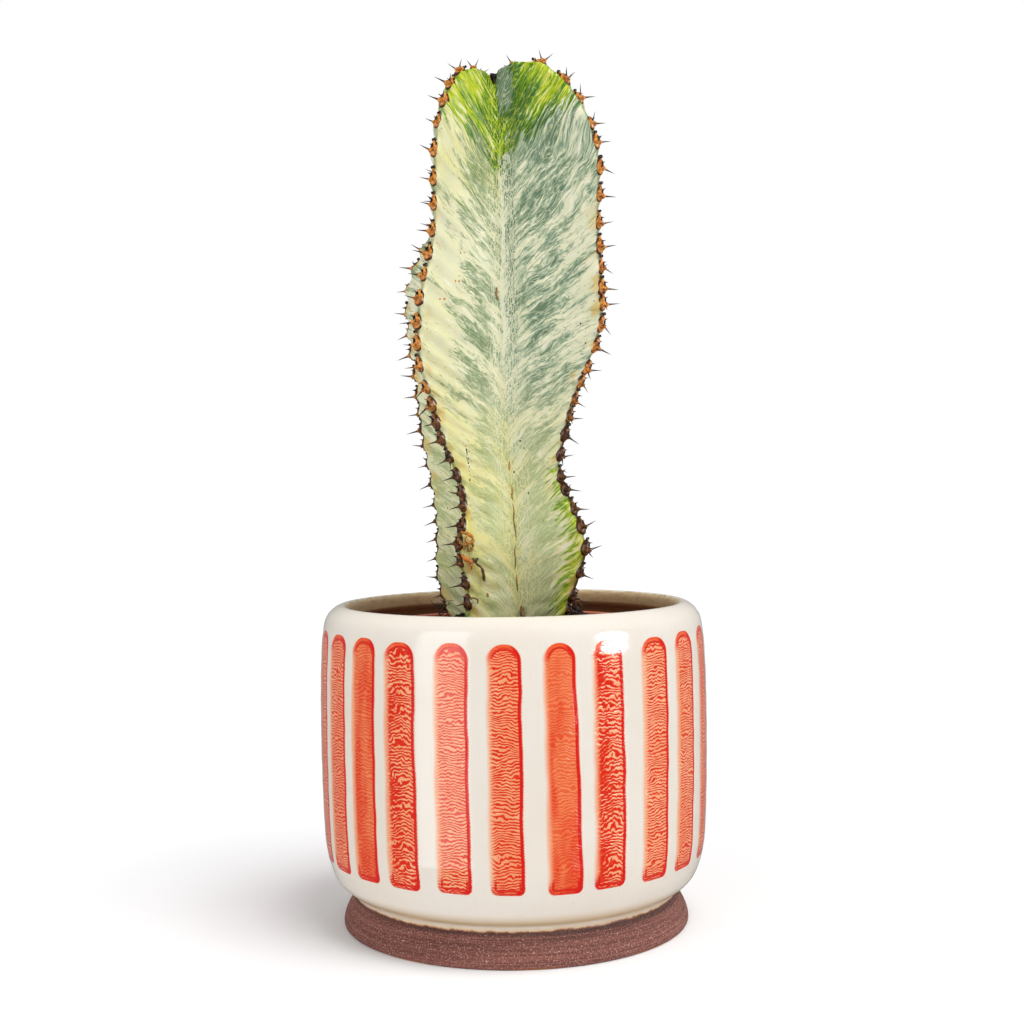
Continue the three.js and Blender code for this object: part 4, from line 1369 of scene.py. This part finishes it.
# Growing tip: a knot of young, dark prickles where the four ribs meet
TIP_PRICKLES = 34
TIP_PRICKLE_LENGTH = 2.6
tip_axes = random_turns(chance, TIP_PRICKLES)
tip_axes[:, :, 2] *= np.sign(tip_axes[:, 2:, 2])
tip_at = on_stem(0.0, 0.0, 0.0, float(STEM_TIP)) + [-1.8, 0, 0.6]
tip_at = tip_at + chance.normal(0, 1, (TIP_PRICKLES, 3)) * [2.8, 2.6, 1.3]
age = np.concatenate([age, np.full(TIP_PRICKLES, 0.8)])
template = horn_spine(TIP_PRICKLE_LENGTH, 0.6, 0.3, sides=5, steps=3)
in_tip = np.arange(SHIELDS + TIP_PRICKLES) >= SHIELDS
all_axes = np.concatenate([shield_axes, tip_axes])
all_at = np.concatenate([shield_at, tip_at])
all_size = np.concatenate([shield_size, chance.uniform(0.6, 1.3, TIP_PRICKLES)])
tip = 0.5 + 0.4 * (template[0][:, 2] / TIP_PRICKLE_LENGTH).clip(0, 1)
add_horn(template, all_axes, all_at, all_size, (tip, 0.5 + 0 * tip), in_tip)

# Bridges: low on the stem a thin brown seam of horn joins some shields to the next.
BRIDGES_BELOW = 205
BRIDGE_STEPS = 9
for rib in range(4):
    at = shield_shares[rib]
    bearing = np.radians(RIB_BEARINGS[rib])
    for low, high in zip(at[:-1], at[1:]):
        out, height = smooth_line(RIB_EDGES[rib], np.linspace(low, high, BRIDGE_STEPS)).T
        if height[0] < BRIDGES_BELOW and chance.uniform() < 0.7:
            dip = 0.55 * np.sin(np.linspace(0, np.pi, BRIDGE_STEPS))
            aside = 0.25 * np.sin(np.arange(BRIDGE_STEPS) * 1.7)
            line = on_stem(bearing, out + 0.3 - dip, aside, height)
            horn_parts.append(tube(line, np.full(BRIDGE_STEPS, 0.42), 5))
            horn_tones.append(np.tile([0.75, 0.2, 0.5], (len(horn_parts[-1][0]), 1)))

YOUNG_HORN_DARK = srgb(170, 88, 18)
YOUNG_HORN = srgb(240, 166, 74)
OLD_HORN_DARK = srgb(44, 22, 12)
OLD_HORN = srgb(132, 84, 46)
HORN_EDGE = srgb(70, 30, 14)
SCAR_BLACK = srgb(24, 10, 5)
YOUNG_SPINE_ROOT = srgb(118, 52, 24)
OLD_SPINE_ROOT = srgb(74, 42, 30)
SPINE_TIP = srgb(38, 14, 10)
horn_finish, tree, shader = principled("horn")
points, faces = joined(horn_parts)
horn = piece("spine_shields", points * MM, faces, horn_finish)
tones = horn.data.attributes.new("tones", "FLOAT_VECTOR", "POINT")
tones.data.foreach_set("vector", np.vstack(horn_tones).astype(np.float32).ravel())
place = object_place(tree)
age_share, tip_share, rim_share = parts_of(read(tree, "tones"))
mottle = grain(place, (700, 700, 700), 3, 0.6)
young = blend(fade(mottle, 0.35, 0.65), YOUNG_HORN_DARK, YOUNG_HORN)
old = blend(fade(mottle, 0.4, 0.7), OLD_HORN_DARK, OLD_HORN)
plate = blend(age_share, young, old)
plate = blend(fade(rim_share, 0.84, 0.97), plate, HORN_EDGE)
plate = blend(fade(rim_share, 0.4, 0.28), plate, SCAR_BLACK)
middle_colour = blend(age_share, YOUNG_SPINE_ROOT, OLD_SPINE_ROOT)
plate = blend(fade(tip_share, 0.1, 0.28), plate, middle_colour)
plate = blend(fade(tip_share, 0.16, 0.42), plate, SPINE_TIP)
feed(shader, {"Base Color": plate, "Roughness": 0.3})
feed(shader, {"Normal": relief(mottle, 0.25, 0.6)})
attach(horn, "root")
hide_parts("stem")

# Dried remains and marks
# Shrivelled flower remains caught on the left rib, a rusty crack up the middle of the front face,
# and small warts, scars and specks. Each lies on the skin, or is stuck to it by its root.
ring_ahead = np.roll(ring, -1, 1) - np.roll(ring, 1, 1)
skin_facing = np.cross(ring_ahead, np.gradient(ring, axis=0)).reshape(-1, 3)
skin_facing /= np.maximum(np.linalg.norm(skin_facing, axis=1), 1e-9)[:, None]
skin_at = ring.reshape(-1, 3)
skin_seen = in_picture(skin_at * MM)
to_camera = CAMERA_AT / MM - skin_at
HIDDEN_COST = 100
DEPTH_COST = 0.05
is_hidden = (skin_facing * to_camera).sum(1) < 0
turned_away = HIDDEN_COST * is_hidden + DEPTH_COST * np.linalg.norm(to_camera, axis=1)
MARK_REACH = 1.2


def sight_of(pixels):
    """The direction of the line of sight through each pixel, one unit deep."""
    aside = (np.asarray(pixels, float) - PICTURE_SIDE / 2) * (1, -1) / FOCAL_PIXELS
    return np.column_stack([aside, np.full(len(aside), -1.0)]) @ camera_axes.T


def on_skin(pixels, lift=0.0):
    """Where the line of sight through each pixel meets the skin, lifted off it by some mm, and the
    way the skin faces there: the line meets the flat plane that touches the nearest seen point, no
    more than 1.2 mm from that point."""
    miss = np.linalg.norm(skin_seen[None] - np.asarray(pixels, float)[:, None], axis=-1) + turned_away
    nearest = miss.argmin(1)
    facing, sight = skin_facing[nearest], sight_of(pixels)
    level = ((skin_at[nearest] - CAMERA_AT / MM) * facing).sum(1) / (sight * facing).sum(1)
    off = CAMERA_AT / MM + sight * level[:, None] - skin_at[nearest]
    off *= np.minimum(1, MARK_REACH / np.maximum(np.linalg.norm(off, axis=1), 1e-9))[:, None]
    lift = np.broadcast_to(lift, len(facing))[:, None]
    return skin_at[nearest] + off + facing * lift, facing


def on_plane(pixels, depth):
    """Where the line of sight through each pixel meets the upright plane that far behind the axis."""
    sight = sight_of(pixels)
    return CAMERA_AT / MM + sight * ((depth - CAMERA_AT[1] / MM) / sight[:, 1])[:, None]


# Warts and specks: pixel across and down, half width and half height in mm, and tone, from 0 for
# orange to 1 for black
SPOTS = [
    [460.5, 252.7, 0.4, 0.5, 0.2], [464.2, 252.5, 0.4, 0.5, 0.25], [455.6, 281, 0.45, 0.5, 0.05],
    [459, 281, 0.5, 0.5, 0.05], [440, 299, 0.45, 0.45, 0.05], [444.5, 299, 0.6, 0.5, 0.05],
    [496.5, 289, 0.5, 0.9, 0.42], [496.3, 293.5, 0.75, 1.4, 0.4], [496.8, 298, 0.65, 1.0, 0.48],
    [580.5, 323.5, 0.45, 0.5, 0.7], [585.5, 343, 0.5, 0.45, 0.7], [568.5, 297, 0.25, 0.3, 0.55],
    [594, 301, 0.4, 0.3, 0.85], [514, 472, 0.4, 0.5, 0.95], [528.5, 493, 0.35, 0.5, 0.95],
    [520.3, 441, 0.5, 0.35, 0.95], [524, 448, 0.45, 0.3, 0.95], [487.5, 595, 0.7, 1.1, 0.45],
    [422.5, 450, 0.8, 1.1, 0.05], [447.5, 508, 0.4, 0.4, 0.95],
]
CHAIN_SPECKS = 22
CHAIN = [[465.5, 446], [467, 452], [468, 459], [469, 466], [470, 473], [470, 481]]
CRACKS = [
    [[509.6, 461], [509, 466], [509.4, 471]],
    [[511.4, 485], [512.2, 490], [511.8, 495], [512.6, 500]],
    [[512.6, 503], [514, 511], [513.6, 519], [515, 528], [516, 536], [516, 541]],
    [[515.6, 545], [514.6, 552], [515.6, 560], [515, 569]],
    [[516.6, 574], [517, 583], [517.8, 592]],
]
chance = np.random.default_rng(59)
chain = smooth_line(CHAIN, np.sort(chance.uniform(0, 1, CHAIN_SPECKS)))
chain = chain + chance.normal(0, 0.35, chain.shape)
chain_size = chance.uniform(0.12, 0.38, CHAIN_SPECKS)
chain_spots = np.column_stack([chain, chain_size, chain_size * 1.6, 0 * chain_size + 0.9])
spots = np.vstack([SPOTS, chain_spots])
spot_at, spot_facing = on_skin(spots[:, :2])
spot_up = [0, 0, 1.0] - spot_facing * spot_facing[:, 2:]
spot_up /= np.linalg.norm(spot_up, axis=1)[:, None]
spot_axes = np.stack([np.cross(spot_up, spot_facing), spot_up, spot_facing], 2)
spot_scale = np.stack([spots[:, 2], spots[:, 3], 0.35 * spots[:, 2]], 1)
wart = ball(8, 4)
marks = [scattered(*wart, spot_axes * spot_scale[:, None, :], spot_at)]
mark_tones = [np.repeat(spots[:, 4], len(wart[0]))]


def add_strand(pixels, radii, tone, lift=0.0, steps=14):
    """A thin tube along the skin through pixels, with radii and lifts in mm given along it."""
    share = np.linspace(0, 1, steps)
    given = np.linspace(0, 1, np.size(radii))
    lifts = np.interp(share, np.linspace(0, 1, np.size(lift)), np.atleast_1d(lift))
    width = np.interp(share, given, np.atleast_1d(radii)) * (1 + 0.2 * np.sin(share * 23))
    points, faces = tube(on_skin(smooth_line(pixels, share), lifts)[0], width, 6)
    marks.append((points, faces))
    mark_tones.append(np.full(len(points), tone))


for number, crack in enumerate(CRACKS):
    add_strand(crack, [0.08, 0.34, 0.3, 0.4, 0.08], 0.25 + 0.06 * number)

# Flower remains: curls of dried petal, a ring of dried cup, a stalk, and a tuft by the soil
CURL = [
    [457.5, 533.5], [462, 532.5], [467, 535], [469.5, 540], [466.5, 544], [463, 541.5], [465, 538.5],
]
SECOND_CURL = [[458, 538], [460.5, 543], [465, 546], [462, 548.5]]
round_cup = np.linspace(0.3, 2 * np.pi, 12)
CUP = np.column_stack([468.6 + 3.1 * np.cos(round_cup), 547.2 + 3.4 * np.sin(round_cup)])
PETAL = [[462, 555], [464.5, 559], [468, 562.5], [469.5, 568.5]]
STALK = [[469, 560.5], [473, 562], [477, 566.5], [481, 573], [483, 580.5]]
HOOK = [[469, 599], [473, 598.5], [475.5, 600.5], [475.5, 604]]
add_strand(CURL, [0.35, 0.75, 0.8, 0.6, 0.3], 0.2, [0.3, 1.6, 2.4, 1.6, 1.8])
add_strand(SECOND_CURL, [0.4, 0.7, 0.5, 0.2], 0.35, [0.3, 1.4, 1.8, 1.2])
add_strand(CUP, 0.5, 0.3, [0.5, 1.5, 1.6, 0.8])
add_strand(PETAL, [0.5, 1.1, 0.9, 0.3], 0.1, [0.6, 1.2, 1.6, 1.8])
add_strand(STALK, [0.5, 0.45, 0.55, 0.8, 0.5], 0.72, [1.0, 1.6, 2.0, 1.6, 1.0])
add_strand([[471, 558], [474.5, 560], [476, 557.5]], [0.5, 0.7, 0.3], 0.75, 1.4, 8)
add_strand(HOOK, [0.5, 0.4, 0.35, 0.2], 0.6, [0.4, 1.4, 1.6, 1.0])
add_strand([[521.5, 605.5], [521, 610], [522.5, 617]], [0.4, 0.8, 0.9], 0.6, [0.5, 0.8, 1.0], 8)
add_strand([[524, 606.5], [523.4, 611], [524, 617]], [0.3, 0.6, 0.8], 0.5, [0.5, 0.8, 1.0], 8)

HUSK_ORANGE = srgb(214, 122, 0)
HUSK_OLIVE = srgb(132, 100, 30)
HUSK_BLACK = srgb(34, 18, 12)
dried_finish, tree, shader = principled("dried_plant")
points, faces = joined(marks)
dried = piece("dried_marks", points * MM, faces, dried_finish)
held = dried.data.attributes.new("tone", "FLOAT", "POINT")
held.data.foreach_set("value", np.concatenate(mark_tones).astype(np.float32))
place = object_place(tree)
tone = read(tree, "tone", "Fac")
mottle = grain(place, (800, 800, 300), 3, 0.6)
tone = tone + fade(mottle, 0.3, 0.7, -0.18, 0.18)
husk = blend(fade(tone, 0.0, 0.5), HUSK_ORANGE, HUSK_OLIVE)
husk = blend(fade(tone, 0.45, 0.95), husk, HUSK_BLACK)
feed(shader, {"Base Color": husk, "Roughness": 0.6})
feed(shader, {"Normal": relief(mottle, 0.2, 0.7)})
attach(dried, "root")
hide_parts("stem")

# Litter round the foot
# Wiry root ends on the left and a crumbly lump of peat on the right, loose on the mix. They stand up
# against the foot of the stem and show above the pot's rim, behind the stem's front face.
WIRES = 16
WIRE_STEPS = 8
WIRES_AT = [446, 609]
LUMP_AT = [576.5, 613]
LUMP_CRUMBS = 70
chance = np.random.default_rng(67)
litter = []
for _ in range(WIRES):
    start = WIRES_AT + chance.uniform(-3, 3, 2)
    heading = np.cumsum(chance.normal(0, 0.5, WIRE_STEPS)) + chance.uniform(2.4, 4.2)
    steps = np.stack([np.cos(heading), np.sin(heading)], 1)
    path = start + np.cumsum(steps, 0) * chance.uniform(1.2, 2.6)
    path[:, 1] = np.clip(path[:, 1], 600.5, 622)
    line = on_plane(path, -18.0 + chance.uniform(-4, 4))
    litter.append(tube(line, chance.uniform(0.12, 0.28) * np.linspace(1, 0.3, WIRE_STEPS), 5))
lump_at = on_plane(LUMP_AT + chance.normal(0, 1, (LUMP_CRUMBS, 2)) * [4.5, 2.6], -16.0)
lump_at[:, 1] += chance.normal(0, 2.5, LUMP_CRUMBS)
lump_size = chance.uniform(0.5, 1.3, LUMP_CRUMBS)
lump_turns = random_turns(chance, LUMP_CRUMBS) * (lump_size[:, None] * [1, 0.8, 0.6])[:, None, :]
litter.append(scattered(crumb_points, crumb_faces, lump_turns, lump_at))
points, faces = joined(litter)
stem_litter = piece("stem_litter", points * MM, faces, soil_finish)
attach(stem_litter, "root")
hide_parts("soil")
